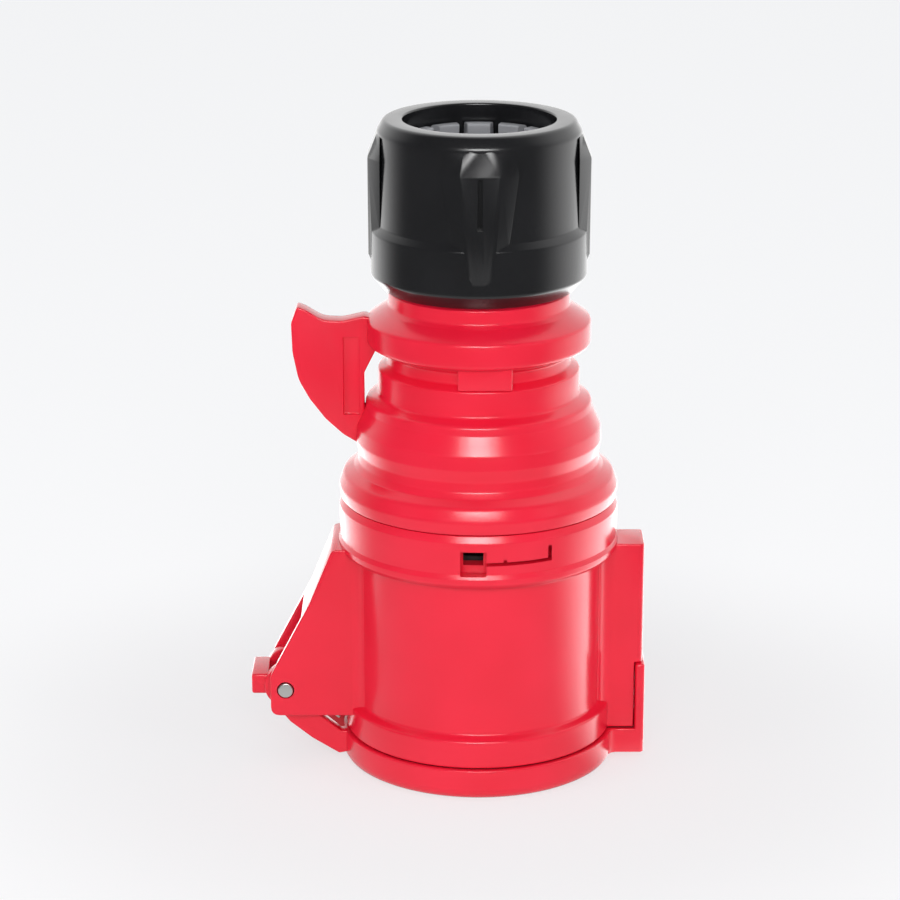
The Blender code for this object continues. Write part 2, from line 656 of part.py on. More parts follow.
def make_lid():
    shelf = GASKET_INNER - LID_GASKET_STEP
    groove = GASKET_OUTER + GAP
    lid = turned("lid", [
        (0.0, LID_PLATE),
        (shelf, LID_PLATE),
        (shelf, GASKET_FLOOR),
        (groove, GASKET_FLOOR),
        (groove, LID_HEIGHT),
        (LID_RADIUS, LID_HEIGHT),
        (LID_RADIUS, LID_BEVEL),
        (LID_RADIUS - LID_BEVEL * 0.35, LID_BEVEL * 0.35),
        (LID_RADIUS - LID_BEVEL, 0.0),
        (0.0, 0.0),
    ])
    tab_half = LID_TAB_HALF_WIDTH
    rim_middle = (groove + LID_RADIUS) / 2
    foot = footed_outline(LID_RADIUS, rim_middle, tab_half, TAB_OUTER_X, LID_FILLET, BULGE_CHAMFER)
    join(lid, plate("lid_extension", [foot], LID_EXTENSION_BOTTOM, LID_HEIGHT))
    join(lid, box("lid_tab", (TAB_INNER_X, -tab_half, LID_TAB_BOTTOM), (TAB_OUTER_X, tab_half, LID_TAB_TOP)))
    gasket_half = KEYWAY_HALF_WIDTH + LID_GASKET_WIDTH / 2 + GAP
    cut(lid, box("lid_groove", (shelf - LID_GASKET_WIDTH, -gasket_half, GASKET_FLOOR),
                 (KEYWAY_REACH + LID_GASKET_WIDTH / 2 + GAP, gasket_half, LID_HEIGHT + CUT_MARGIN)))
    for side in (-1, 1):
        join(lid, make_arm(side))
    heel_low = HINGE_Z - HEEL_THICKNESS / 2
    join(lid, box("lid_heel", (HINGE_X - HEEL_REACH, -HEEL_HALF_WIDTH, heel_low),
                  (HINGE_X - HEEL_REACH + HEEL_LENGTH, HEEL_HALF_WIDTH, heel_low + HEEL_THICKNESS)))
    side = BRACKET_HALF_WIDTH
    cut(lid, rod_along_y("knuckle_hole", PIN_RADIUS + GAP, -side, side, HINGE_X, HINGE_Z))
    finish(lid, RED, 0.35)
    return lid


def knuckle_span(side):
    """The y range of one knuckle, beside its ear."""
    outer = BRACKET_HALF_WIDTH - EAR_THICKNESS - GAP
    inner = outer - KNUCKLE_WIDTH
    return (inner, outer) if side > 0 else (-outer, -inner)


def make_arm(side):
    """One arm from the lid's rim up to its knuckle round the pin."""
    low, high = knuckle_span(side)
    rim_x = -(GASKET_OUTER + GAP + ARM_INSET)
    outline = [
        (HINGE_X, HINGE_Z),
        (HINGE_X - KNUCKLE_RADIUS * 0.72, HINGE_Z - KNUCKLE_RADIUS * 0.68),
        (HINGE_X + KNUCKLE_RADIUS * 0.18, HINGE_Z - KNUCKLE_RADIUS * 1.77),
        (HINGE_X + KNUCKLE_RADIUS * 1.19, HINGE_Z - KNUCKLE_RADIUS * 2.58),
        (-LID_RADIUS - ARM_FOOT * 2.5, LID_BEVEL * 0.8),
        (rim_x, LID_BEVEL),
        (rim_x, LID_HEIGHT),
        (-LID_RADIUS - ARM_FOOT, LID_HEIGHT),
        (-LID_RADIUS - ARM_FOOT - ARM_DEPTH, LID_HEIGHT + ARM_RISE),
        (HINGE_X + KNUCKLE_RADIUS * 0.9, HINGE_Z - KNUCKLE_RADIUS * 0.3),
    ]
    end = "near" if side < 0 else "far"
    arm = plate("lid_arm_" + end, [outline], low + ARM_INSET, high - ARM_INSET, "XZ")
    knuckle = rod_along_y("knuckle_" + end, KNUCKLE_RADIUS, low, high, HINGE_X, HINGE_Z)
    join(arm, knuckle)
    return arm


def make_lid_gasket():
    side = LID_GASKET_WIDTH / 2
    outer = keyed_outline(GASKET_OUTER, KEYWAY_HALF_WIDTH + side, KEYWAY_REACH + side, LARGE_STEPS)
    inner = keyed_outline(GASKET_INNER, KEYWAY_HALF_WIDTH + LID_GASKET_LIP, KEYWAY_REACH + LID_GASKET_LIP,
                          LARGE_STEPS)
    gasket = plate("lid_gasket", [outer, inner], GASKET_Z, LID_HEIGHT)
    finish(gasket, RUBBER, 0.8)
    return gasket


def make_hinge_pin():
    half = BRACKET_HALF_WIDTH + PIN_STAND_OUT
    pin = turned("hinge_pin", [
        (0.0, half),
        (PIN_RADIUS - PIN_CHAMFER, half),
        (PIN_RADIUS, half - PIN_CHAMFER),
        (PIN_RADIUS, PIN_CHAMFER - half),
        (PIN_RADIUS - PIN_CHAMFER, -half),
        (0.0, -half),
    ], SMALL_STEPS)
    pin.rotation_euler = (math.radians(90.0), 0.0, 0.0)
    pin.location = (HINGE_X, 0.0, HINGE_Z)
    finish(pin, STEEL, 0.25, 1.0)
    return pin


def make_lid_spring():
    """A torsion spring round the pin, with one leg on the front housing and one on the lid's rim."""
    radius = PIN_RADIUS + SPRING_CLEARANCE + SPRING_WIRE / 2
    half = knuckle_span(1)[0] - GAP - SPRING_WIRE / 2
    points = []
    housing_end = (-(MOUTH_BAND_RADIUS + GAP + SPRING_WIRE / 2), HINGE_Z + SPRING_LEG_RISE)
    lid_end = (-(LID_RADIUS + SPRING_WIRE), LID_HEIGHT + GAP - SPRING_WIRE)
    total = SPRING_TURNS * SPRING_TURN_POINTS + SPRING_TURN_POINTS // 4
    points.append((housing_end[0], -half, housing_end[1]))
    for index in range(total + 1):
        angle = math.radians(120.0 + 360.0 * index / SPRING_TURN_POINTS)
        y = -half + 2 * half * index / total
        points.append((HINGE_X + radius * math.cos(angle), y, HINGE_Z + radius * math.sin(angle)))
    points.append((lid_end[0], half, lid_end[1]))
    curve = bpy.data.curves.new("lid_spring", "CURVE")
    curve.dimensions = "3D"
    curve.bevel_depth = SPRING_WIRE / 2
    curve.bevel_resolution = 2
    curve.use_fill_caps = True
    spline = curve.splines.new("POLY")
    spline.points.add(len(points) - 1)
    for point, place in zip(spline.points, points):
        point.co = (*place, 1.0)
    spring = meshed(add_object("lid_spring", curve, PARTS))
    finish(spring, STEEL, 0.3, 1.0)
    return spring


def make_contact_carrier():
    """The insulating block behind the face plate, with a chamber for each contact."""
    flange_radius = PLUG_CAVITY_RADIUS - GAP
    carrier = turned("contact_carrier", [
        (0.0, CARRIER_BACK),
        (flange_radius, CARRIER_BACK),
        (flange_radius, CARRIER_FLANGE_Z),
        (CARRIER_RADIUS, CARRIER_FLANGE_Z),
        (CARRIER_RADIUS, CARRIER_FRONT),
        (0.0, CARRIER_FRONT),
    ])
    for index, name in enumerate(CONTACT_NAMES):
        cut(carrier, make_contact_chamber(index, name))
    screw_end = CARRIER_BACK - CARRIER_SCREW_DEPTH - GAP
    for side in (-1, 1):
        cut(carrier, make_screw_hole("carrier_hole", side, screw_end, CARRIER_BACK + CUT_MARGIN))
    finish(carrier, GREY, 0.5)
    return carrier


def make_contact_chamber(index, name):
    """A contact's chamber in the carrier: a bore for the sleeve and a seat for the flange."""
    seat = sleeve_radius(name) + CONTACT_FLANGE_STEP + GAP
    seat_z = CARRIER_BACK - CONTACT_FLANGE_THICKNESS - GAP
    chamber = turned("chamber_" + name, [
        (0.0, CARRIER_BACK + CUT_MARGIN),
        (seat, CARRIER_BACK + CUT_MARGIN),
        (seat, seat_z),
        (bore_radius(name), seat_z),
        (bore_radius(name), CARRIER_FRONT - CUT_MARGIN),
        (0.0, CARRIER_FRONT - CUT_MARGIN),
    ], SMALL_STEPS)
    x, y, angle = contact_place(index)
    chamber.location = (x, y, 0.0)
    return chamber


def make_contact_face():
    """The plate on the carrier's front, with a hole for each of the plug's pins."""
    top = CARRIER_FACE + FACE_PLATE_THICKNESS
    face = turned("contact_face", [
        (0.0, top),
        (CARRIER_RADIUS, top),
        (CARRIER_RADIUS, CARRIER_FACE + CARRIER_CHAMFER),
        (CARRIER_RADIUS - CARRIER_CHAMFER, CARRIER_FACE),
        (0.0, CARRIER_FACE),
    ])
    for index, name in enumerate(CONTACT_NAMES):
        radius = pin_bore(name) + PIN_HOLE_PLAY
        hole = turned("face_hole_" + name, [
            (0.0, top + CUT_MARGIN),
            (radius, top + CUT_MARGIN),
            (radius, CARRIER_FACE - CUT_MARGIN),
            (0.0, CARRIER_FACE - CUT_MARGIN),
        ], SMALL_STEPS)
        x, y, angle = contact_place(index)
        hole.location = (x, y, 0.0)
        cut(face, hole)
    finish(face, GREY, 0.5)
    return face


def make_screw_hole(name, side, low, high):
    radius = CARRIER_SCREW_RADIUS + GAP
    hole = turned(name, [(0.0, high), (radius, high), (radius, low), (0.0, low)], SCREW_STEPS)
    hole.location = screw_place(side)
    return hole


def make_terminal_plate():
    radius = SPIGOT_RADIUS - REAR_WALL - SPIGOT_LIP - GAP
    plate_disc = turned("terminal_plate", [
        (0.0, PLATE_TOP), (radius, PLATE_TOP), (radius, SPIGOT_END), (0.0, SPIGOT_END)], RING_STEPS)
    above, below = PLATE_TOP + CUT_MARGIN, SPIGOT_END - CUT_MARGIN
    for index, name in enumerate(CONTACT_NAMES):
        hole_radius = barrel_radius(name) + GAP
        section = [(0.0, above), (hole_radius, above), (hole_radius, below), (0.0, below)]
        hole = turned("plate_hole_" + name, section, SMALL_STEPS)
        x, y, angle = contact_place(index)
        hole.location = (x, y, 0.0)
        cut(plate_disc, hole)
    for side in (-1, 1):
        cut(plate_disc, make_screw_hole("plate_screw_hole", side, below, above))
    finish(plate_disc, GREY, 0.5)
    return plate_disc


def make_contact(index, name):
    """A brass sleeve split at the front, with a flange and a barrel for the wire."""
    bore = pin_bore(name)
    sleeve = sleeve_radius(name)
    barrel = barrel_radius(name)
    flange = sleeve + CONTACT_FLANGE_STEP
    flange_z = CARRIER_BACK - CONTACT_FLANGE_THICKNESS
    contact = turned("contact_" + name, [
        (0.0, BARREL_TOP - WIRE_DEPTH),
        (WIRE_BORE, BARREL_TOP - WIRE_DEPTH),
        (WIRE_BORE, BARREL_TOP),
        (barrel, BARREL_TOP),
        (barrel, CARRIER_BACK),
        (flange, CARRIER_BACK),
        (flange, flange_z),
        (sleeve, flange_z),
        (sleeve, CONTACT_FRONT + SLEEVE_CHAMFER),
        (sleeve - SLEEVE_CHAMFER, CONTACT_FRONT),
        (bore, CONTACT_FRONT),
        (bore, CONTACT_FRONT + SLEEVE_DEPTH),
        (0.0, CONTACT_FRONT + SLEEVE_DEPTH),
    ], SMALL_STEPS)
    x, y, angle = contact_place(index)
    contact.location = (x, y, 0.0)
    contact.rotation_euler = (0.0, 0.0, angle)
    slit = box("slit_" + name, (-sleeve - CUT_MARGIN, -SLEEVE_SLIT / 2, CONTACT_FRONT - CUT_MARGIN),
               (sleeve + CUT_MARGIN, SLEEVE_SLIT / 2, CONTACT_FRONT + SLEEVE_SLIT_LENGTH))
    slit.location = (x, y, 0.0)
    slit.rotation_euler = (0.0, 0.0, angle + math.radians(90.0))
    thread = TERMINAL_SCREW_RADIUS + GAP
    outside = barrel + CUT_MARGIN
    section = [(0.0, outside), (thread, outside), (thread, 0.0), (0.0, 0.0)]
    hole = turned("screw_hole_" + name, section, SCREW_STEPS)
    place_radially(hole, index)
    cut(contact, slit, hole)
    finish(contact, BRASS, 0.3, 1.0)
    return contact


def place_radially(thing, index):
    """Lays a piece turned about its own Z so that its Z points outward through the contact's barrel."""
    x, y, angle = contact_place(index)
    thing.location = (x, y, BARREL_TOP - TERMINAL_SCREW_FROM_END)
    thing.rotation_euler = (0.0, math.radians(90.0), angle)


def make_spring_ring(index, name):
    inner = sleeve_radius(name) + GAP
    outer = inner + SPRING_RING_THICKNESS
    low = CONTACT_FRONT + SPRING_RING_OFFSET
    high = low + SPRING_RING_LENGTH
    section = [(outer, high), (outer, low), (inner, low), (inner, high)]
    ring = turned("spring_ring_" + name, section, SMALL_STEPS)
    x, y, angle = contact_place(index)
    ring.location = (x, y, 0.0)
    finish(ring, STEEL, 0.3, 1.0)
    return ring


def make_terminal_screw(index, name):
    seat = barrel_radius(name) + GAP
    top = seat + TERMINAL_SCREW_HEAD_HEIGHT
    screw = turned("terminal_screw_" + name, [
        (0.0, top),
        (TERMINAL_SCREW_HEAD_RADIUS, top),
        (TERMINAL_SCREW_HEAD_RADIUS, seat),
        (TERMINAL_SCREW_RADIUS, seat),
        (TERMINAL_SCREW_RADIUS, TERMINAL_SCREW_TIP),
        (0.0, TERMINAL_SCREW_TIP),
    ], SCREW_STEPS)
    place_radially(screw, index)
    finish(screw, STEEL, 0.3, 1.0)
    return screw


def make_carrier_screw(number, side):
    seat = PLATE_TOP + GAP
    top = seat + CARRIER_SCREW_HEAD_HEIGHT
    low = CARRIER_BACK - CARRIER_SCREW_DEPTH
    screw = turned("carrier_screw_" + str(number), [
        (0.0, top),
        (CARRIER_SCREW_HEAD_RADIUS, top),
        (CARRIER_SCREW_HEAD_RADIUS, seat),
        (CARRIER_SCREW_RADIUS, seat),
        (CARRIER_SCREW_RADIUS, low),
        (0.0, low),
    ], SCREW_STEPS)
    screw.location = screw_place(side)
    finish(screw, STEEL, 0.3, 1.0)
    return screw


def make_housing_seal():
    section = SEAL_SECTION / 2 - GAP / 2
    middle = COLLAR_BORE + (SEAL_SECTION + GAP) / 2 - GAP / 2
    height = COLLAR_TOP - SEAL_POCKET_DEPTH / 2
    profile = arc((middle, height), section, 90.0, -210.0, 5)
    seal = turned("housing_seal", profile, RING_STEPS)
    finish(seal, RUBBER, 0.8)
    return seal


def make_rear_housing():
    bore = SPIGOT_RADIUS - REAR_WALL
    seat_throat = GLAND_BORE - SEAT_STEP
    tiers = [
        (THREAD_RADIUS, THREAD_TOP - FLANGE_Z),
        (THREAD_RADIUS, NECK_TOP),
        (NECK_RADIUS, NECK_TOP - NECK_STEP),
        (NECK_RADIUS, NECK_BOTTOM),
        (NECK_RADIUS + NECK_FOOT, NECK_BOTTOM - NECK_RISE / 4),
        (RING_RADIUS, RING_TOP),
        (RING_RADIUS, RING_BOTTOM),
        (GROOVE_RADIUS, GROOVE_TOP),
        (GROOVE_RADIUS, GROOVE_BOTTOM),
        (TIER_RADIUS, TIER_TOP),
        (TIER_RADIUS, TIER_BOTTOM),
        (UPPER_DRUM_RADIUS, UPPER_DRUM_TOP),
        (UPPER_DRUM_RADIUS + DRUM_DRAFT, UPPER_DRUM_BOTTOM),
        (DRUM_RADIUS - DRUM_DRAFT, DRUM_TOP),
        (DRUM_RADIUS, DRUM_BOTTOM),
        (WAIST_RADIUS, WAIST_HEIGHT),
        (WAIST_RADIUS + DRUM_DRAFT, FLANGE_TOP + FLANGE_ROUND_RISE),
        (WAIST_RADIUS + WAIST_FOOT, FLANGE_TOP),
        (FLANGE_SHOULDER_RADIUS, FLANGE_SHOULDER_HEIGHT),
        (FLANGE_RADIUS - DRUM_DRAFT, FLANGE_STRAIGHT),
        (FLANGE_RADIUS, 0.0),
        (SPIGOT_RADIUS, 0.0),
    ]
    outer = [(radius, FLANGE_Z + height) for radius, height in tiers]
    inner = [
        (SPIGOT_RADIUS, SPIGOT_END),
        (bore - SPIGOT_LIP, SPIGOT_END),
        (bore - SPIGOT_LIP, SPIGOT_END + SPIGOT_LIP_LENGTH),
        (bore, SPIGOT_END + SPIGOT_LIP_LENGTH + SPIGOT_LIP),
        (bore, FLANGE_Z + FLANGE_SHOULDER_HEIGHT),
        (WAIST_RADIUS - REAR_WALL, FLANGE_Z + WAIST_HEIGHT),
        (WAIST_RADIUS - REAR_WALL, FLANGE_Z + DRUM_TOP - REAR_WALL / 2),
        (UPPER_DRUM_RADIUS - REAR_WALL, FLANGE_Z + UPPER_DRUM_BOTTOM - REAR_WALL / 3),
        (UPPER_DRUM_RADIUS - REAR_WALL, FLANGE_Z + UPPER_DRUM_TOP - REAR_WALL),
        (TIER_RADIUS - REAR_WALL, FLANGE_Z + TIER_BOTTOM),
        (TIER_RADIUS - REAR_WALL, FLANGE_Z + TIER_TOP - REAR_WALL * 0.7),
        (GROOVE_RADIUS - REAR_WALL, FLANGE_Z + GROOVE_BOTTOM),
        (GROOVE_RADIUS - REAR_WALL, FLANGE_Z + RING_TOP),
        (seat_throat, FLANGE_Z + NECK_BOTTOM),
        (seat_throat, SEAT_Z),
        (GLAND_BORE, SEAT_Z),
        (GLAND_BORE, THREAD_TOP),
    ]
    housing = turned("rear_housing", outer + inner)
    join(housing, make_fin(), make_ring_block())
    cut(housing, make_spigot_window())
    finish(housing, RED, 0.35)
    return housing


def make_fin():
    """The lug that hangs from the ring on the hinge side, with its hollow top and curved back."""
    ring_top = FLANGE_Z + RING_TOP
    foot_z = FLANGE_Z + DRUM_BOTTOM
    root = FIN_ROOT - RING_RADIUS

    def place(outward, rise):
        return -RING_RADIUS - FIN_REACH * outward, ring_top + FIN_DROP * rise

    hollow = [(root, ring_top - 0.15 * FIN_ROOT), place(0.03, 0.03), place(0.32, -0.01), place(0.58, -0.005),
              place(0.79, 0.08), (-RING_RADIUS - FIN_REACH * 0.915, ring_top + FIN_TIP_RISE)]
    back = [place(1.0, -0.035), place(0.986, -0.285), place(0.91, -0.52), place(0.765, -0.69),
            place(0.555, -0.865), place(0.32, -1.0)]
    foot = [(-DRUM_RADIUS + 0.2 * REAR_WALL, foot_z - 0.4 * REAR_WALL), (-DRUM_RADIUS + REAR_WALL, foot_z)]
    inner = [(FIN_INNER_X + 0.2 * REAR_WALL, foot_z + 1.4 * REAR_WALL),
             (FIN_INNER_X, FLANGE_Z + UPPER_DRUM_BOTTOM),
             (FIN_INNER_X, ring_top - FIN_ARM_THICKNESS), (root, ring_top - FIN_ARM_THICKNESS * 0.4)]
    half = FIN_THICKNESS / 2
    fin = plate("fin_lug", [hollow + back + foot + inner], -half, half, "XZ")
    recess_x = FIN_INNER_X - 2 * FIN_INNER_GAP
    for side in (-1, 1):
        near, far = sorted((side * (half - FIN_RECESS), side * (half + CUT_MARGIN)))
        cut(fin, box("fin_recess", (recess_x - FIN_RECESS_WIDTH, near, ring_top - 0.82 * FIN_DROP),
                     (recess_x, far, ring_top - FIN_ARM_THICKNESS / 3)))
    return fin


def make_ring_block():
    face = -(GROOVE_RADIUS + BLOCK_STAND_OUT)
    back = face + BLOCK_STAND_OUT + REAR_WALL * 0.7
    return box("ring_block", (BLOCK_LEFT, face, FLANGE_Z + GROOVE_BOTTOM - CUT_MARGIN),
               (BLOCK_RIGHT, back, FLANGE_Z + RING_BOTTOM + CUT_MARGIN))


def make_spigot_window():
    """The release hole through the spigot, just behind the collar's window."""
    low_z = CARRIER_BACK + WINDOW_BOTTOM_ABOVE_SHOULDER + SPIGOT_WINDOW_INSET * 2.5
    high_z = CARRIER_BACK + WINDOW_BOTTOM_ABOVE_SHOULDER + WINDOW_HEIGHT - SPIGOT_WINDOW_INSET
    return box("spigot_window", (WINDOW_LEFT + SPIGOT_WINDOW_INSET, -SPIGOT_RADIUS - CUT_MARGIN, low_z),
               (WINDOW_RIGHT - SPIGOT_WINDOW_INSET, -SPIGOT_RADIUS * 0.7, high_z))


def make_cable_seal():
    outer = GLAND_BORE - GAP
    low = SEAT_Z + GAP
    high = THREAD_TOP
    seal = turned("cable_seal", [
        (outer, high), (outer, low), (CABLE_BORE + SEAL_LEAD_IN, low), (CABLE_BORE, low + SEAL_LEAD_IN),
        (CABLE_BORE, high - SEAL_LEAD_IN), (CABLE_BORE + SEAL_LEAD_IN, high)], RING_STEPS)
    finish(seal, RUBBER, 0.8)
    return seal


def make_clamp_cage():
    """A ring on the spigot's end with fingers that lean in as the nut is tightened."""
    tip_z = CAGE_BASE_TOP + FINGER_LENGTH
    reach = CAGE_RADIUS + CUT_MARGIN
    cage = turned("clamp_cage", [
        (CAGE_RADIUS - FINGER_TAPER, tip_z),
        (CAGE_RADIUS, tip_z - FINGER_TIP),
        (CAGE_RADIUS, CAGE_BASE_TOP),
        (THREAD_RADIUS, CAGE_BASE_TOP),
        (THREAD_RADIUS, CAGE_Z),
        (CAGE_BORE, CAGE_Z),
        (CAGE_BORE - FINGER_TAPER, tip_z),
    ], RING_STEPS)
    for index in range(FINGER_SLOTS // 2):
        slot = box("finger_slot", (-reach, -FINGER_SLOT_WIDTH / 2, CAGE_BASE_TOP + CUT_MARGIN),
                   (reach, FINGER_SLOT_WIDTH / 2, tip_z + CUT_MARGIN))
        slot.rotation_euler = (0.0, 0.0, 2 * math.pi * (index + 0.5) / FINGER_SLOTS)
        cut(cage, slot)
    finish(cage, (0.2, 0.2, 0.21), 0.45)
    return cage


def make_pressure_ring():
    inner = CAGE_RADIUS + GAP
    outer = NUT_BORE - GAP
    top = PRESSURE_RING_Z + PRESSURE_RING_THICKNESS
    section = [(outer, top), (outer, PRESSURE_RING_Z), (inner, PRESSURE_RING_Z), (inner, top)]
    ring = turned("pressure_ring", section, RING_STEPS)
    finish(ring, (0.5, 0.5, 0.5), 0.4)
    return ring


def make_gland_nut():
    cone = NUT_OPENING_RADIUS + NUT_CONE_STEP
    round_out = NUT_RADIUS - NUT_TOP_RADIUS
    nut = turned("gland_nut", [
        (NUT_TOP_RADIUS, NUT_TOP),
        (NUT_TOP_RADIUS + 0.65 * round_out, NUT_TOP - 0.25 * NUT_TOP_ROUND),
        (NUT_TOP_RADIUS + 0.9 * round_out, NUT_TOP - 0.6 * NUT_TOP_ROUND),
        (NUT_RADIUS, NUT_TOP - NUT_TOP_ROUND),
        (NUT_RADIUS, NUT_Z + NUT_SKIRT_TOP + NUT_SKIRT_SLOPE),
        (NUT_SKIRT_RADIUS, NUT_Z + NUT_SKIRT_TOP),
        (NUT_SKIRT_RADIUS, NUT_Z + NUT_SKIRT_CHAMFER),
        (NUT_BORE + NUT_SKIRT_EDGE, NUT_Z),
        (NUT_BORE, NUT_Z),
        (NUT_BORE, NUT_SHOULDER_Z),
        (cone, NUT_SHOULDER_Z),
        (NUT_OPENING_RADIUS, NUT_SHOULDER_Z + NUT_CONE_LENGTH),
        (NUT_OPENING_RADIUS, NUT_TOP),
    ])
    join(nut, make_ribs())
    rib_top = NUT_Z + RIB_TOP
    for index in range(4):
        slit = box("rib_slit", (-RIB_SLIT_WIDTH / 2, -RIB_RADIUS - CUT_MARGIN, rib_top - RIB_SLIT_LENGTH),
                   (RIB_SLIT_WIDTH / 2, -RIB_RADIUS + RIB_SLIT_DEPTH, rib_top + CUT_MARGIN))
        slit.rotation_euler = (0.0, 0.0, math.radians(90.0 * index))
        cut(nut, slit)
    finish(nut, BLACK, 0.4)
    return nut


def make_ribs():
    """Four ribs round the nut, wide at the top and narrow at the bottom."""
    inside = NUT_RADIUS - RIB_STEP / 2
    low, high = NUT_Z + RIB_BOTTOM, NUT_Z + RIB_TOP
    ribs = turned("nut_ribs", [
        (inside, high + RIB_SLOPE),
        (NUT_RADIUS - RIB_STEP / 5, high + RIB_SLOPE),
        (RIB_RADIUS, high - RIB_SLOPE * 0.7),
        (RIB_RADIUS, low + RIB_SLOPE),
        (NUT_SKIRT_RADIUS - RIB_STEP / 5, low),
        (inside, low),
    ])
    top, shoulder = high + RIB_SLOPE + CUT_MARGIN, high - CUT_MARGIN
    low = low - CUT_MARGIN
    face = [(-RIB_BOTTOM_HALF_WIDTH, low), (RIB_BOTTOM_HALF_WIDTH, low),
            (RIB_TOP_HALF_WIDTH, shoulder), (RIB_TOP_HALF_WIDTH * 0.72, top),
            (-RIB_TOP_HALF_WIDTH * 0.72, top), (-RIB_TOP_HALF_WIDTH, shoulder)]
    reach = RIB_RADIUS + CUT_MARGIN
    across = plate("ribs_front_back", [face], -reach, reach, "XZ")
    join(across, plate("ribs_left_right", [face], -reach, reach, "YZ"))
    trim(ribs, across)
    return ribs


def main():
    make_front_housing()
    make_rear_housing()
    make_lid()
    make_lid_gasket()
    make_hinge_pin()
    make_lid_spring()
    make_contact_face()
    make_contact_carrier()
    make_terminal_plate()
    for index, name in enumerate(CONTACT_NAMES):
        make_contact(index, name)
        make_spring_ring(index, name)
        make_terminal_screw(index, name)
    make_carrier_screw(1, -1)
    make_carrier_screw(2, 1)
    make_housing_seal()
    make_cable_seal()
    make_clamp_cage()
    make_pressure_ring()
    make_gland_nut()


clear_scene()
PARTS = new_collection("cable_socket")
CUTTERS = new_collection("cutters")
main()
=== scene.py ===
"""Finish, fine forms, camera and light of the cable socket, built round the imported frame."""
import math

import bmesh
import bpy
from mathutils import Matrix, Vector


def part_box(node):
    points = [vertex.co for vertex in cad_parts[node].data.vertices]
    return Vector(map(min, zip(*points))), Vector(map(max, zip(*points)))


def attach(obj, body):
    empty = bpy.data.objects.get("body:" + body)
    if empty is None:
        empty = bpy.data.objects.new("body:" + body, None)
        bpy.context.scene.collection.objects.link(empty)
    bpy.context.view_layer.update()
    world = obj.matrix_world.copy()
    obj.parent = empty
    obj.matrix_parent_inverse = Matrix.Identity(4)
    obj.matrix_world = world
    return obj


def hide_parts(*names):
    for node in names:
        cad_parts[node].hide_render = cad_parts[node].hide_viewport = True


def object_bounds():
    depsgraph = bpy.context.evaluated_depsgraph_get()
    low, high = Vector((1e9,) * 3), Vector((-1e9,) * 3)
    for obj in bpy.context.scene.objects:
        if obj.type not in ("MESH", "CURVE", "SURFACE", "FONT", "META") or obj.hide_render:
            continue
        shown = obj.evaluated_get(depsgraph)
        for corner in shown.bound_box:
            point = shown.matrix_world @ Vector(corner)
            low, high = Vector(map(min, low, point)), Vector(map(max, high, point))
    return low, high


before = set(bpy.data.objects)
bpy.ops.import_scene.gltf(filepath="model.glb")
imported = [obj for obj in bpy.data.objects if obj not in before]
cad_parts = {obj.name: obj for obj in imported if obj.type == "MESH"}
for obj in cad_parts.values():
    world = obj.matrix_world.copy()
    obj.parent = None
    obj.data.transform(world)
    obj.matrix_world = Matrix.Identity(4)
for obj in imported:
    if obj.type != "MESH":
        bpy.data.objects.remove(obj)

CAD_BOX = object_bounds()
MM = 0.001
GAP = 0.3 * MM

# Facets round the large turned pieces, and the longest step along their profiles
ROUND_STEPS = 168
SLEEVE_STEPS = 96
SMALL_STEPS = 48
THREAD_STEPS = 72
PROFILE_STEP = 2.5 * MM
CORNER_STEPS = 4

# Edges sharper than these angles are shaded as edges, or rounded
SHARP_ANGLE = 32.0
SOFT_ANGLE = 30.0
SOFT_STEPS = 3

# Levels along the axis, taken from the frame
MOUTH_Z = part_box("front_housing")[0][2]
COLLAR_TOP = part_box("front_housing")[1][2]
SPIGOT_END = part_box("rear_housing")[0][2]
THREAD_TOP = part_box("rear_housing")[1][2]
LID_TAB_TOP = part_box("lid")[1][2]
CARRIER_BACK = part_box("contact_carrier")[1][2]
NUT_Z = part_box("gland_nut")[0][2]
NUT_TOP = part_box("gland_nut")[1][2]
CAGE_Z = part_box("clamp_cage")[0][2]
CAGE_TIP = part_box("clamp_cage")[1][2]
SEAL_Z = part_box("cable_seal")[0][2]
FLANGE_Z = COLLAR_TOP + GAP
HINGE_X = (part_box("hinge_pin")[0][0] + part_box("hinge_pin")[1][0]) / 2
HINGE_Z = (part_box("hinge_pin")[0][2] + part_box("hinge_pin")[1][2]) / 2
PIN_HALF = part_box("hinge_pin")[1][1]

# Front housing
CAVITY = 32.5 * MM
FRONT_RADIUS = 35.7 * MM
MOUTH_RADIUS = 38.2 * MM
COLLAR_RADIUS = 39.6 * MM
COLLAR_BORE = 36.0 * MM
LEDGE_Z = MOUTH_Z + 47.7 * MM
LEDGE_TOP = LEDGE_Z + 3.0 * MM
LEDGE_BORE = 29.0 * MM
BASE_FILLET = 5.0 * MM
KEYWAY_HALF = 4.2 * MM
KEYWAY_REACH = 42.6 * MM
BULGE_HALF = 7.0 * MM
BULGE_REACH = 47.3 * MM
TAB_SEAT_X = 45.0 * MM
FRONT_TOP = CARRIER_BACK - 0.4 * MM

# Hinge bracket and lid
BRACKET_HALF = 12.5 * MM
EAR_INNER = 9.8 * MM
EAR_BOTTOM = 15.0 * MM
EAR_REACH = 4.3 * MM
PIN_RADIUS = 2.2 * MM
LID_RADIUS = 39.2 * MM
LID_HEIGHT = 9.0 * MM
LID_PLATE = 3.2 * MM
GROOVE_FLOOR = 5.8 * MM
GROOVE_INNER = 31.5 * MM
GROOVE_OUTER = 37.3 * MM
TAB_HALF = 8.0 * MM
KNUCKLE_RADIUS = 6.2 * MM

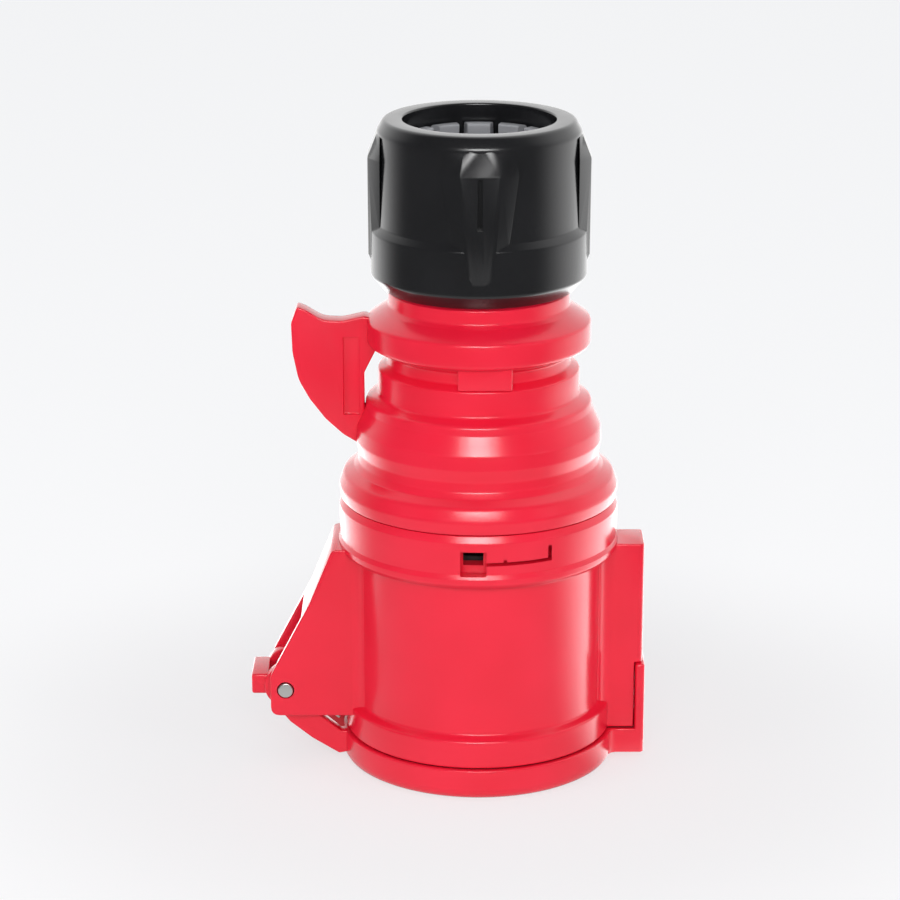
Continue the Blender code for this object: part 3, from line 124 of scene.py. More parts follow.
# Colours, linear
RED = (0.83, 0.012, 0.042)
RED_DEEP = (0.77, 0.009, 0.033)
BLACK = (0.006, 0.0062, 0.0072)
BLACK_SOFT = (0.011, 0.0113, 0.0128)
CLAMP_GREY = (0.38, 0.385, 0.41)
CARRIER_GREY = (0.035, 0.036, 0.04)
RUBBER = (0.016, 0.016, 0.017)
STEEL = (0.62, 0.62, 0.6)
BRASS = (0.66, 0.47, 0.2)
PAPER = (0.905, 0.913, 0.93)

# Surroundings: light that falls on the object, and what its glossy surfaces mirror
AMBIENT = 0.6
FRONT_GLOW = 0.15
BACK_GLOW = 1.8
NEAR_GLOW = 0.4
NEAR_BOOST = 2.0
MIRROR_NEAR = 0.2
MIRROR_FAR = 0.4
BRIGHT_SIDE = (0.25, 1.0, 0.0)
BRIGHT_FROM = -0.3
BRIGHT_TO = 0.6

# Floor: its own glow, dimmed under the object as a painted shadow and full further out, and how much of the
# lamps' light it shows
FLOOR_HALF = 6.0
FLOOR_DROP = 0.05 * MM
GLOW_IN_PAINTED_SHADOW = 0.71
GLOW_OUTSIDE = 0.81
GLOW_NEAR = 0.08
GLOW_FAR = 0.2
FLOOR_BODY = 0.3
FLOOR_BOUNCE = 0.8

# Camera, with its place in heights of the object
SENSOR = 36.0
LENS = 128.28
CAMERA_X = -8.1 * MM
CAMERA_AWAY = 4.66
CAMERA_UP = 1.93
CAMERA_PITCH = 17.2

# Noise in the finishes: the span of its values that is used, and its scale in colour and in gloss
NOISE_LOW = 0.2
NOISE_HIGH = 0.8
FLOW_SCALE = 45.0
GLOSS_SCALE = 99.0
POLISH_SCALE = 260.0


def from_bmesh(name, bm):
    mesh = bpy.data.meshes.new(name)
    bm.to_mesh(mesh)
    bm.free()
    thing = bpy.data.objects.new(name, mesh)
    bpy.context.scene.collection.objects.link(thing)
    return thing


def applied(thing):
    """Fixes the modifiers of a piece in its mesh."""
    bpy.context.view_layer.update()
    evaluated = thing.evaluated_get(bpy.context.evaluated_depsgraph_get())
    mesh = bpy.data.meshes.new_from_object(evaluated)
    mesh.transform(thing.matrix_world)
    thing.modifiers.clear()
    thing.data = mesh
    thing.matrix_world = Matrix.Identity(4)
    return thing


def combined(target, helper, operation):
    modifier = target.modifiers.new("combine", "BOOLEAN")
    modifier.operation = operation
    modifier.solver = "EXACT"
    modifier.object = helper
    applied(target)
    bpy.data.objects.remove(helper, do_unlink=True)
    return target


def cut(target, *helpers):
    for helper in helpers:
        combined(target, helper, "DIFFERENCE")


def join(target, *helpers):
    for helper in helpers:
        combined(target, helper, "UNION")


def trim(target, helper):
    combined(target, helper, "INTERSECT")


def shade(thing):
    thing.data.shade_smooth()
    thing.data.set_sharp_from_angle(angle=math.radians(SHARP_ANGLE))


def eased(corners, closed):
    """Rounds the corners (radius, height, rounding) of a profile, or of any outline, with short arcs."""
    points = []
    count = len(corners)
    for index, (a, b, rounding) in enumerate(corners):
        here = Vector((a, b))
        if not closed and index in (0, count - 1) or rounding <= 0.0:
            points.append(here)
            continue
        before = Vector(corners[index - 1][:2]) - here
        after = Vector(corners[(index + 1) % count][:2]) - here
        half = before.angle(after) / 2
        if half > math.radians(88.5):
            points.append(here)
            continue
        reach = min(rounding / math.tan(half), before.length * 0.48, after.length * 0.48)
        start = here + before.normalized() * reach
        end = here + after.normalized() * reach
        for step in range(CORNER_STEPS + 1):
            t = step / CORNER_STEPS
            points.append(start * (1 - t) ** 2 + here * 2 * t * (1 - t) + end * t ** 2)
    return points


def divided(points, closed):
    """Adds points along the long stretches of an outline."""
    pairs = list(zip(points, points[1:] + points[:1])) if closed else list(zip(points, points[1:]))
    result = []
    for first, second in pairs:
        parts = max(1, math.ceil((second - first).length / PROFILE_STEP))
        result += [first.lerp(second, index / parts) for index in range(parts)]
    return result if closed else result + [points[-1]]


def turned(name, corners, steps=ROUND_STEPS):
    """Turns a rounded profile about Z; a profile that starts and ends on the axis stays open."""
    closed = corners[0][0] > 0.0 or corners[-1][0] > 0.0
    points = divided(eased(corners, closed), closed)
    bm = bmesh.new()
    vertices = [bm.verts.new((point[0], 0.0, point[1])) for point in points]
    for first, second in zip(vertices, vertices[1:]):
        bm.edges.new((first, second))
    if closed:
        bm.edges.new((vertices[-1], vertices[0]))
    thing = from_bmesh(name, bm)
    screw = thing.modifiers.new("turn", "SCREW")
    screw.axis = "Z"
    screw.steps = steps
    screw.render_steps = steps
    screw.use_merge_vertices = True
    screw.merge_threshold = 0.005 * MM
    return applied(thing)


def softened(thing, width):
    """Rounds the edges of a helper shape before it is joined or cut."""
    bevel = thing.modifiers.new("soften", "BEVEL")
    bevel.width = width
    bevel.segments = SOFT_STEPS
    bevel.limit_method = "ANGLE"
    bevel.angle_limit = math.radians(SOFT_ANGLE)
    return applied(thing)


def box(name, low, high, soft=0.0):
    bm = bmesh.new()
    bmesh.ops.create_cube(bm, size=1.0)
    size = [b - a for a, b in zip(low, high)]
    centre = [(a + b) / 2 for a, b in zip(low, high)]
    matrix = Matrix.Translation(centre) @ Matrix.Diagonal((*size, 1.0))
    bmesh.ops.transform(bm, matrix=matrix, verts=bm.verts)
    thing = from_bmesh(name, bm)
    return softened(thing, soft) if soft > 0.0 else thing


def hinge_rod(name, radius, low, high, soft=0.0):
    """A round rod on the hinge's axis, from one place along Y to another."""
    bm = bmesh.new()
    bmesh.ops.create_cone(bm, cap_ends=True, segments=SMALL_STEPS,
                          radius1=radius, radius2=radius, depth=high - low)
    turn = Matrix.Rotation(math.radians(90.0), 4, "X")
    matrix = Matrix.Translation((HINGE_X, (low + high) / 2, HINGE_Z)) @ turn
    bmesh.ops.transform(bm, matrix=matrix, verts=bm.verts)
    thing = from_bmesh(name, bm)
    return softened(thing, soft) if soft > 0.0 else thing


def plate(name, outline, low, high, plane="XY", soft=0.0):
    """A flat shape of the given outline between two levels of the axis that its plane leaves out."""
    curve = bpy.data.curves.new(name, "CURVE")
    curve.dimensions = "2D"
    curve.fill_mode = "BOTH"
    curve.extrude = (high - low) / 2
    spline = curve.splines.new("POLY")
    spline.points.add(len(outline) - 1)
    for point, place in zip(spline.points, outline):
        point.co = (place[0], place[1], 0.0, 1.0)
    spline.use_cyclic_u = True
    guide = bpy.data.objects.new(name, curve)
    bpy.context.scene.collection.objects.link(guide)
    bpy.context.view_layer.update()
    mesh = bpy.data.meshes.new_from_object(guide.evaluated_get(bpy.context.evaluated_depsgraph_get()))
    bpy.data.objects.remove(guide, do_unlink=True)
    bm = bmesh.new()
    bm.from_mesh(mesh)
    bmesh.ops.remove_doubles(bm, verts=bm.verts, dist=0.001 * MM)
    bmesh.ops.dissolve_limit(bm, angle_limit=math.radians(0.5), verts=bm.verts, edges=bm.edges)
    middle = (low + high) / 2
    matrix = Matrix.Translation((0.0, 0.0, middle))
    if plane == "XZ":
        matrix = Matrix.Translation((0.0, middle, 0.0)) @ Matrix.Rotation(math.radians(90.0), 4, "X")
    bmesh.ops.transform(bm, matrix=matrix, verts=bm.verts)
    bmesh.ops.recalc_face_normals(bm, faces=bm.faces)
    thing = from_bmesh(name, bm)
    return softened(thing, soft) if soft > 0.0 else thing


def arc(centre, radius, start, end, count):
    points = []
    for index in range(count + 1):
        angle = math.radians(start + (end - start) * index / count)
        points.append((centre[0] + radius * math.cos(angle), centre[1] + radius * math.sin(angle)))
    return points


def footed_outline(radius, root, half_width, reach, fillet, chamfer):
    """A block that stands out of a cylinder, with hollow fillets at its foot and a round root inside."""
    lean = math.asin((half_width + fillet) / (radius + fillet))
    centre = ((radius + fillet) * math.cos(lean), half_width + fillet)
    tangent = 180.0 + math.degrees(lean)
    side = arc(centre, fillet, tangent + 9.0, 270.0, 10)
    spread = math.degrees(math.asin(side[0][1] / radius))
    corner = arc((reach - chamfer, half_width - chamfer), chamfer, 90.0, 0.0, 5)
    upper = side + corner
    lower = [(x, -y) for x, y in reversed(upper)]
    return upper + lower + arc((0.0, 0.0), root, -spread, spread, 12)


def mirrored_x(outline):
    return [(-x, y) for x, y in reversed(outline)]


def principled(name):
    material = bpy.data.materials.new(name)
    material.use_nodes = True
    nodes = material.node_tree.nodes
    return material, nodes, material.node_tree.links, nodes["Principled BSDF"]


def add_noise(nodes, links, place, scale, detail):
    noise = nodes.new("ShaderNodeTexNoise")
    noise.inputs["Scale"].default_value = scale
    noise.inputs["Detail"].default_value = detail
    links.new(place.outputs["Object"], noise.inputs["Vector"])
    return noise


def ramp(nodes, links, source, low, high, first, last):
    """A value that runs smoothly from first to last as its source goes from low to high."""
    spread = nodes.new("ShaderNodeMapRange")
    spread.interpolation_type = "SMOOTHSTEP"
    for field, value in (("From Min", low), ("From Max", high), ("To Min", first), ("To Max", last)):
        spread.inputs[field].default_value = value
    links.new(source, spread.inputs["Value"])
    return spread.outputs["Result"]


def uneven(nodes, links, noise, first, last):
    return ramp(nodes, links, noise.outputs["Fac"], NOISE_LOW, NOISE_HIGH, first, last)


def moulded(name, colour, deep, roughness, spread, grain_scale, grain_height, coat=0.0):
    """Moulded plastic: faint flow marks in the colour, a fine spark-eroded grain and uneven gloss."""
    material, nodes, links, shader = principled(name)
    place = nodes.new("ShaderNodeTexCoord")
    flow = add_noise(nodes, links, place, FLOW_SCALE, 1.0)
    tint = nodes.new("ShaderNodeMix")
    tint.data_type = "RGBA"
    tint.inputs["A"].default_value = (*colour, 1.0)
    tint.inputs["B"].default_value = (*deep, 1.0)
    links.new(uneven(nodes, links, flow, 0.0, 1.0), tint.inputs["Factor"])
    links.new(tint.outputs["Result"], shader.inputs["Base Color"])
    patch = add_noise(nodes, links, place, GLOSS_SCALE, 2.0)
    links.new(uneven(nodes, links, patch, roughness, roughness + spread), shader.inputs["Roughness"])
    grain = add_noise(nodes, links, place, grain_scale, 2.0)
    bump = nodes.new("ShaderNodeBump")
    bump.inputs["Strength"].default_value = 0.5
    bump.inputs["Distance"].default_value = grain_height
    links.new(grain.outputs["Fac"], bump.inputs["Height"])
    links.new(bump.outputs["Normal"], shader.inputs["Normal"])
    shader.inputs["Coat Weight"].default_value = coat
    shader.inputs["Coat Roughness"].default_value = 0.12
    return material


def machined(name, colour, roughness, spread, ring_scale, scratch_height):
    """Turned metal: fine tool rings round the axis and an uneven polish."""
    material, nodes, links, shader = principled(name)
    shader.inputs["Base Color"].default_value = (*colour, 1.0)
    shader.inputs["Metallic"].default_value = 1.0
    place = nodes.new("ShaderNodeTexCoord")
    wave = nodes.new("ShaderNodeTexWave")
    wave.wave_type = "BANDS"
    wave.bands_direction = "Z"
    wave.inputs["Scale"].default_value = ring_scale
    wave.inputs["Distortion"].default_value = 1.5
    links.new(place.outputs["Object"], wave.inputs["Vector"])
    patch = add_noise(nodes, links, place, POLISH_SCALE, 3.0)
    links.new(uneven(nodes, links, patch, roughness, roughness + spread), shader.inputs["Roughness"])
    bump = nodes.new("ShaderNodeBump")
    bump.inputs["Strength"].default_value = 0.4
    bump.inputs["Distance"].default_value = scratch_height
    links.new(wave.outputs["Fac"], bump.inputs["Height"])
    links.new(bump.outputs["Normal"], shader.inputs["Normal"])
    return material


def dress(thing, material, body, slot, *nodes):
    """Gives a piece its material and body, and lets it stand for CAD nodes; the slot is not used."""
    thing.data.materials.clear()
    thing.data.materials.append(material)
    shade(thing)
    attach(thing, body)
    if nodes:
        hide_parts(*nodes)


def paint(node, material):
    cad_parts[node].data.materials.clear()
    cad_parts[node].data.materials.append(material)


def make_front_shell(material):
    collar_foot = MOUTH_Z + 54.1 * MM
    shell = turned("front_shell", [
        (COLLAR_RADIUS - 0.85 * MM, COLLAR_TOP, 0.3 * MM),
        (COLLAR_RADIUS, COLLAR_TOP - 2.0 * MM, 0.5 * MM),
        (COLLAR_RADIUS - 0.2 * MM, collar_foot + 3.8 * MM, 0.4 * MM),
        (COLLAR_RADIUS + 0.35 * MM, collar_foot + 2.5 * MM, 0.3 * MM),
        (COLLAR_RADIUS + 0.35 * MM, collar_foot + 0.9 * MM, 0.9 * MM),
        (COLLAR_RADIUS - 0.9 * MM, collar_foot - 0.4 * MM, 0.9 * MM),
        (FRONT_RADIUS, collar_foot - 1.4 * MM, 1.2 * MM),
        (FRONT_RADIUS, MOUTH_Z + 9.0 * MM, 1.0 * MM),
        (MOUTH_RADIUS, MOUTH_Z + 7.9 * MM, 1.0 * MM),
        (MOUTH_RADIUS, MOUTH_Z, 0.6 * MM),
        (CAVITY + 0.8 * MM, MOUTH_Z, 0.3 * MM),
        (CAVITY, MOUTH_Z + 0.8 * MM, 0.5 * MM),
        (CAVITY, LEDGE_Z, 0.3 * MM),
        (LEDGE_BORE, LEDGE_Z, 0.3 * MM),
        (LEDGE_BORE, LEDGE_TOP, 0.3 * MM),
        (CAVITY, LEDGE_TOP, 0.3 * MM),
        (CAVITY, CARRIER_BACK, 0.3 * MM),
        (COLLAR_BORE, CARRIER_BACK, 0.3 * MM),
        (COLLAR_BORE, COLLAR_TOP - 2.8 * MM, 0.2 * MM),
        (COLLAR_BORE + 1.8 * MM, COLLAR_TOP - 2.8 * MM, 0.2 * MM),
        (COLLAR_BORE + 1.8 * MM, COLLAR_TOP, 0.3 * MM),
    ])
    middle = (CAVITY + FRONT_RADIUS) / 2
    outline = footed_outline(FRONT_RADIUS, middle, BULGE_HALF, BULGE_REACH, BASE_FILLET, 1.2 * MM)
    bulge = plate("bulge", outline, MOUTH_Z, FRONT_TOP)
    seat_high = (BULGE_REACH + MM, BULGE_HALF + MM, LID_TAB_TOP + GAP)
    cut(bulge, box("tab_seat", (TAB_SEAT_X, -BULGE_HALF - MM, 0.0), seat_high))
    softened(bulge, 0.45 * MM)
    join(shell, bulge, make_bracket(middle))
    keyway_low = (CAVITY - 4.0 * MM, -KEYWAY_HALF, MOUTH_Z - MM)
    cut(shell, box("keyway", keyway_low, (KEYWAY_REACH, KEYWAY_HALF, LEDGE_Z), 0.3 * MM))
    reach = BRACKET_HALF + MM
    cut(shell, hinge_rod("pin_hole", PIN_RADIUS + GAP, -reach, reach))
    cut(shell, *make_window_cutters())
    dress(shell, material, "socket_body", "red_plastic", "front_housing")


def make_bracket(middle):
    """Two ears with rounded noses, joined above the pin by a sloping hood."""
    nose_x = HINGE_X - EAR_REACH
    foot = footed_outline(FRONT_RADIUS, middle, BRACKET_HALF, -nose_x + 5.0 * MM, BASE_FILLET, 0.5 * MM)
    bracket = plate("bracket", mirrored_x(foot), EAR_BOTTOM - 2.0 * MM, FRONT_TOP + 4.0 * MM)
    bend = (-48.3 * MM, 48.8 * MM)
    top_x = -41.6 * MM
    corners = [
        (-FRONT_RADIUS / 2, EAR_BOTTOM, 0.0),
        (nose_x, EAR_BOTTOM, 2.6 * MM),
        (nose_x, HINGE_Z + EAR_REACH, 3.0 * MM),
        (bend[0], bend[1], 6.0 * MM),
        (top_x, FRONT_TOP, 2.0 * MM),
        (-FRONT_RADIUS / 2, FRONT_TOP, 0.0),
    ]
    trim(bracket, plate("bracket_side", eased(corners, True), -22.0 * MM, 22.0 * MM, "XZ"))
    lean = (top_x - bend[0]) / (FRONT_TOP - bend[1])
    inner = -(MOUTH_RADIUS + GAP)
    hood_z = 44.0 * MM
    hood_x = bend[0] + (hood_z - bend[1]) * lean + 2.4 * MM
    room_top = FRONT_TOP - 7.0 * MM
    room_x = min(inner - MM, hood_x + (room_top - hood_z) * lean)
    room_low = EAR_BOTTOM - 4.0 * MM
    outside = nose_x - 4.0 * MM
    room = [(inner, room_low), (outside, room_low), (outside, hood_z),
            (hood_x, hood_z), (room_x, room_top), (inner, room_top)]
    cut(bracket, plate("bracket_room", room, -EAR_INNER, EAR_INNER, "XZ"))
    return softened(bracket, 0.35 * MM)


def make_window_cutters():
    """The release window in the collar, and the bent slot beside it."""
    front = -COLLAR_RADIUS - MM
    back = -COLLAR_BORE * 0.8
    window_z = CARRIER_BACK + 1.1 * MM
    slot_z = window_z + 3.1 * MM
    window = box("window", (-5.3 * MM, front, window_z), (1.9 * MM, back, window_z + 7.2 * MM))
    corners = [
        (0.9, 0.0), (20.0, 0.0), (20.0, 4.5), (19.0, 4.5), (19.0, 1.0),
        (7.6, 1.0), (7.6, 1.8), (6.6, 1.8), (6.6, 1.0), (0.9, 1.0),
    ]
    slot = [(x * MM, slot_z + z * MM) for x, z in corners]
    return window, plate("slot", slot, front, back, "XZ")


def make_lid_shell(material):
    shell = turned("lid_shell", [
        (0.0, LID_PLATE, 0.0),
        (GROOVE_INNER, LID_PLATE, 0.4 * MM),
        (GROOVE_INNER, GROOVE_FLOOR, 0.3 * MM),
        (GROOVE_OUTER, GROOVE_FLOOR, 0.3 * MM),
        (GROOVE_OUTER, LID_HEIGHT, 0.3 * MM),
        (LID_RADIUS, LID_HEIGHT, 0.6 * MM),
        (LID_RADIUS, 0.0, 3.4 * MM),
        (0.0, 0.0, 0.0),
    ])
    tab_inner = TAB_SEAT_X + GAP
    tab_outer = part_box("lid")[1][0]
    rim_middle = (GROOVE_OUTER + LID_RADIUS) / 2
    outline = footed_outline(LID_RADIUS, rim_middle, TAB_HALF, tab_outer, 2.5 * MM, 1.2 * MM)
    join(shell, plate("lid_extension", outline, 1.8 * MM, LID_HEIGHT, soft=0.5 * MM))
    tab_low = (tab_inner, -TAB_HALF, 5.0 * MM)
    join(shell, box("lid_tab", tab_low, (tab_outer, TAB_HALF, LID_TAB_TOP), 0.7 * MM))
    gasket_half = KEYWAY_HALF + 2.45 * MM
    groove_low = (GROOVE_INNER - 3.0 * MM, -gasket_half, GROOVE_FLOOR)
    cut(shell, box("groove", groove_low, (44.95 * MM, gasket_half, LID_HEIGHT + MM)))
    for low in (-9.5 * MM, 5.2 * MM):
        join(shell, make_arm(low, low + 4.3 * MM))
    heel_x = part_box("lid")[0][0]
    heel_low = (heel_x, -7.5 * MM, HINGE_Z - 3.0 * MM)
    heel_high = (heel_x + 5.0 * MM, 7.5 * MM, HINGE_Z + 3.0 * MM)
    join(shell, box("heel", heel_low, heel_high, 0.7 * MM))
    cut(shell, hinge_rod("knuckle_hole", PIN_RADIUS + GAP, -BRACKET_HALF, BRACKET_HALF))
    dress(shell, material, "lid_body", "red_plastic", "lid")


def make_arm(low, high):
    rim_x = -(GROOVE_OUTER + 0.2 * MM)
    shoulder_x = -LID_RADIUS - 0.4 * MM
    corners = [
        (HINGE_X, HINGE_Z, 0.0),
        (HINGE_X - KNUCKLE_RADIUS * 0.72, HINGE_Z - KNUCKLE_RADIUS * 0.68, 0.0),
        (HINGE_X + 1.1 * MM, HINGE_Z - 11.0 * MM, 4.0 * MM),
        (HINGE_X + 7.4 * MM, HINGE_Z - 16.0 * MM, 6.0 * MM),
        (-LID_RADIUS - MM, 2.1 * MM, 1.0 * MM),
        (rim_x, 2.6 * MM, 0.0),
        (rim_x, LID_HEIGHT, 0.0),
        (shoulder_x, LID_HEIGHT, 1.0 * MM),
        (shoulder_x - 6.0 * MM, LID_HEIGHT + 5.0 * MM, 3.0 * MM),
        (HINGE_X + KNUCKLE_RADIUS * 0.9, HINGE_Z - KNUCKLE_RADIUS * 0.3, 0.0),
    ]
    inset = 0.2 * MM
    arm = plate("arm", eased(corners, True), low + inset, high - inset, "XZ", 0.4 * MM)
    join(arm, hinge_rod("knuckle", KNUCKLE_RADIUS, low, high, 0.4 * MM))
    return arm


def make_rear_shell(material):
    bore = 32.7 * MM
    tiers = [
        (24.6, (THREAD_TOP - FLANGE_Z) / MM, 0.5),
        (24.6, 60.6, 0.2),
        (25.5, 59.8, 0.5),
        (25.5, 56.0, 1.0),
        (26.8, 54.9, 1.5),
        (31.5, 51.7, 1.4),
        (31.5, 45.0, 1.4),
        (25.8, 42.4, 1.0),
        (25.8, 39.1, 0.8),
        (28.4, 37.6, 0.8),
        (28.4, 30.3, 1.2),
        (31.8, 28.6, 1.4),
        (32.1, 26.2, 2.0),
        (34.5, 21.0, 2.6),
        (34.8, 17.0, 3.0),
        (34.1, 13.4, 3.0),
        (34.3, 10.8, 1.6),
        (35.4, 9.0, 1.6),
        (38.3, 7.2, 2.4),
        (39.6, 3.6, 3.0),
        (39.1, 0.0, 0.4),
        (35.7, 0.0, 0.0),
    ]
    outer = [(radius * MM, FLANGE_Z + height * MM, rounding * MM) for radius, height, rounding in tiers]
    inner = [
        (35.7 * MM, SPIGOT_END, 0.5 * MM),
        (31.2 * MM, SPIGOT_END, 0.4 * MM),
        (31.2 * MM, SPIGOT_END + 2.7 * MM, 0.4 * MM),
        (bore, SPIGOT_END + 4.2 * MM, 0.5 * MM),
        (bore, FLANGE_Z + 7.2 * MM, 1.0 * MM),
        (31.1 * MM, FLANGE_Z + 13.4 * MM, 1.0 * MM),
        (31.1 * MM, FLANGE_Z + 20.7 * MM, 1.0 * MM),
        (28.8 * MM, FLANGE_Z + 24.0 * MM, 1.0 * MM),
        (28.8 * MM, FLANGE_Z + 25.6 * MM, 1.0 * MM),
        (25.4 * MM, FLANGE_Z + 30.3 * MM, 1.0 * MM),
        (25.4 * MM, FLANGE_Z + 35.6 * MM, 1.0 * MM),
        (22.8 * MM, FLANGE_Z + 39.1 * MM, 1.0 * MM),
        (22.8 * MM, FLANGE_Z + 51.7 * MM, 1.0 * MM),
        (18.6 * MM, FLANGE_Z + 56.0 * MM, 1.0 * MM),
        (18.6 * MM, THREAD_TOP - 19.0 * MM, 0.3 * MM),
        (20.6 * MM, THREAD_TOP - 19.0 * MM, 0.3 * MM),
        (20.6 * MM, THREAD_TOP, 0.4 * MM),
    ]
    shell = turned("rear_shell", outer + inner)
    join(shell, make_fin())
    block_low = (-6.0 * MM, -28.6 * MM, FLANGE_Z + 38.1 * MM)
    block_high = (9.0 * MM, -23.6 * MM, FLANGE_Z + 46.0 * MM)
    join(shell, box("ring_block", block_low, block_high, 0.5 * MM))
    window_low = (-4.5 * MM, -36.7 * MM, CARRIER_BACK + 3.3 * MM)
    window_high = (1.1 * MM, -25.0 * MM, CARRIER_BACK + 7.5 * MM)
    cut(shell, box("spigot_window", window_low, window_high))
    dress(shell, material, "socket_body", "red_plastic", "rear_housing")


def make_fin():
    """The lug under the ring on the hinge side, with a hollow top, a curved back and a shallow recess."""
    top = FLANGE_Z + 51.7 * MM
    foot_z = FLANGE_Z + 17.0 * MM
    corners = [
        (-27.5, -0.6, 0.0), (-32.1, 1.0, 2.0), (-38.2, -0.4, 8.0), (-43.9, -0.2, 8.0), (-48.3, 2.6, 4.0),
        (-50.9, 3.7, 0.8), (-52.7, -1.2, 3.0), (-52.4, -9.6, 12.0), (-50.8, -17.6, 12.0),
        (-47.7, -23.2, 12.0), (-43.3, -29.0, 12.0), (-38.3, -33.6, 8.0),
    ]
    outline = [(x * MM, top + z * MM, r * MM) for x, z, r in corners]
    outline += [
        (-34.2 * MM, foot_z - 1.4 * MM, 0.0),
        (-31.6 * MM, foot_z, 0.0),
        (-31.6 * MM, foot_z + 4.4 * MM, 0.0),
        (-32.2 * MM, FLANGE_Z + 25.0 * MM, 1.0 * MM),
        (-32.2 * MM, top - 15.4 * MM, 2.0 * MM),
        (-27.5 * MM, top - 6.0 * MM, 0.0),
    ]
    half = 3.2 * MM
    fin = plate("fin", eased(outline, True), -half, half, "XZ", 0.5 * MM)
    for side in (-1, 1):
        near, far = sorted((side * (half - MM), side * (half + MM)))
        recess_low = (-38.2 * MM, near, foot_z + 7.0 * MM)
        cut(fin, box("fin_recess", recess_low, (-33.6 * MM, far, top - 5.0 * MM), 0.3 * MM))
    return fin


def helix_ridge(name, radius, depth, pitch, width, low, high):
    """A screw thread's ridge, made as a band of triangles in section that climbs round the axis."""
    bm = bmesh.new()
    total = int((high - low) / pitch * THREAD_STEPS)
    rings = []
    for index in range(total + 1):
        angle = 2 * math.pi * index / THREAD_STEPS
        rise = low + pitch * index / THREAD_STEPS
        taper = min(1.0, index / 10.0, (total - index) / 10.0)
        ring = []
        for offset, height in ((-width / 2, -0.4 * MM), (0.0, depth * taper), (width / 2, -0.4 * MM)):
            reach = radius + height
            ring.append(bm.verts.new((reach * math.cos(angle), reach * math.sin(angle), rise + offset)))
        rings.append(ring)
    for first, second in zip(rings, rings[1:]):
        for a in range(3):
            b = (a + 1) % 3
            bm.faces.new((first[a], second[a], second[b], first[b]))
    bm.faces.new(rings[0])
    bm.faces.new(reversed(rings[-1]))
    bmesh.ops.recalc_face_normals(bm, faces=bm.faces)
    return from_bmesh(name, bm)


def make_thread(material):
    """The ridge on the spigot that the nut turns on."""
    radius = 24.6 * MM
    depth = 0.5 * MM
    pitch = 3.0 * MM
    width = 1.6 * MM
    low = NUT_Z + 2.0 * MM
    thread = helix_ridge("spigot_thread", radius, depth, pitch, width, low, THREAD_TOP - MM)
    dress(thread, material, "socket_body", "red_plastic")


def make_nut_shell(material):
    bore = 25.2 * MM
    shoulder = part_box("pressure_ring")[1][2] + GAP
    shell = turned("nut_shell", [
        (26.6 * MM, NUT_TOP, 1.6 * MM),
        (28.5 * MM, NUT_TOP - 3.2 * MM, 3.0 * MM),
        (28.5 * MM, NUT_Z + 18.5 * MM, 0.8 * MM),
        (30.2 * MM, NUT_Z + 16.5 * MM, 1.0 * MM),
        (30.2 * MM, NUT_Z + 4.0 * MM, 1.6 * MM),
        (26.9 * MM, NUT_Z, 0.5 * MM),
        (bore, NUT_Z, 0.3 * MM),
        (bore, shoulder, 0.3 * MM),
        (22.6 * MM, shoulder, 0.3 * MM),
        (21.3 * MM, shoulder + 11.5 * MM, 1.0 * MM),
        (21.3 * MM, NUT_TOP, 0.6 * MM),
    ])
    join(shell, make_ribs())
    slit_low = (-0.7 * MM, -31.9 * MM, NUT_Z + 22.5 * MM)
    slit_high = (0.7 * MM, -28.9 * MM, NUT_Z + 36.8 * MM)
    for index in range(4):
        slit = box("rib_slit", slit_low, slit_high)
        slit.data.transform(Matrix.Rotation(math.radians(90.0 * index), 4, "Z"))
        cut(shell, slit)
    dress(shell, material, "nut_body", "black_plastic", "gland_nut")


def make_ribs():
    """Four wedges that narrow downwards, with a sloping head and flanks that lean outwards."""
    head = NUT_TOP - 3.6 * MM
    brow = NUT_Z + 37.3 * MM
    foot = NUT_Z + 6.5 * MM
    root = 27.3 * MM
    crest = 30.9 * MM
    lean = 5.2 * MM
    levels = [
        (head, 28.3 * MM, 4.4 * MM),
        (brow, crest, 5.6 * MM),
        (foot + 3.0 * MM, crest, 1.9 * MM),
        (foot, 29.7 * MM, 1.6 * MM),
    ]
    bm = bmesh.new()
    for quarter in range(4):
        turn = Matrix.Rotation(math.radians(90.0 * quarter), 4, "Z")
        rows = []
        for level, reach, half in levels:
            wide = half + lean
            ring = [(root, -wide), (reach, -half), (reach, half), (root, wide)]
            rows.append([bm.verts.new(turn @ Vector((x, y, level))) for x, y in ring])
        for upper, lower in zip(rows, rows[1:]):
            for a in range(4):
                b = (a + 1) % 4
                bm.faces.new((upper[a], upper[b], lower[b], lower[a]))
        bm.faces.new(rows[0])
        bm.faces.new(reversed(rows[-1]))
    bmesh.ops.recalc_face_normals(bm, faces=bm.faces)
    return softened(from_bmesh("ribs", bm), 0.5 * MM)


def make_cage(material):
    """The clamp's ring with twelve fingers, parted by six slots that cross it."""
    base_top = CAGE_Z + 2.7 * MM
    cage = turned("cage_fingers", [
        (20.0 * MM, CAGE_TIP, 0.6 * MM),
        (21.0 * MM, CAGE_TIP - 4.0 * MM, 1.0 * MM),
        (21.0 * MM, base_top, 0.3 * MM),
        (24.6 * MM, base_top, 0.3 * MM),
        (24.6 * MM, CAGE_Z, 0.3 * MM),
        (17.6 * MM, CAGE_Z, 0.3 * MM),
        (16.7 * MM, CAGE_TIP, 0.6 * MM),
    ], SLEEVE_STEPS)
    for index in range(6):
        slot = box("slot", (-23.0 * MM, -1.2 * MM, base_top + MM), (23.0 * MM, 1.2 * MM, CAGE_TIP + MM))
        slot.data.transform(Matrix.Rotation(2 * math.pi * (index + 0.5) / 12, 4, "Z"))
        cut(cage, slot)
    dress(cage, material, "socket_body", "clamp_plastic", "clamp_cage")


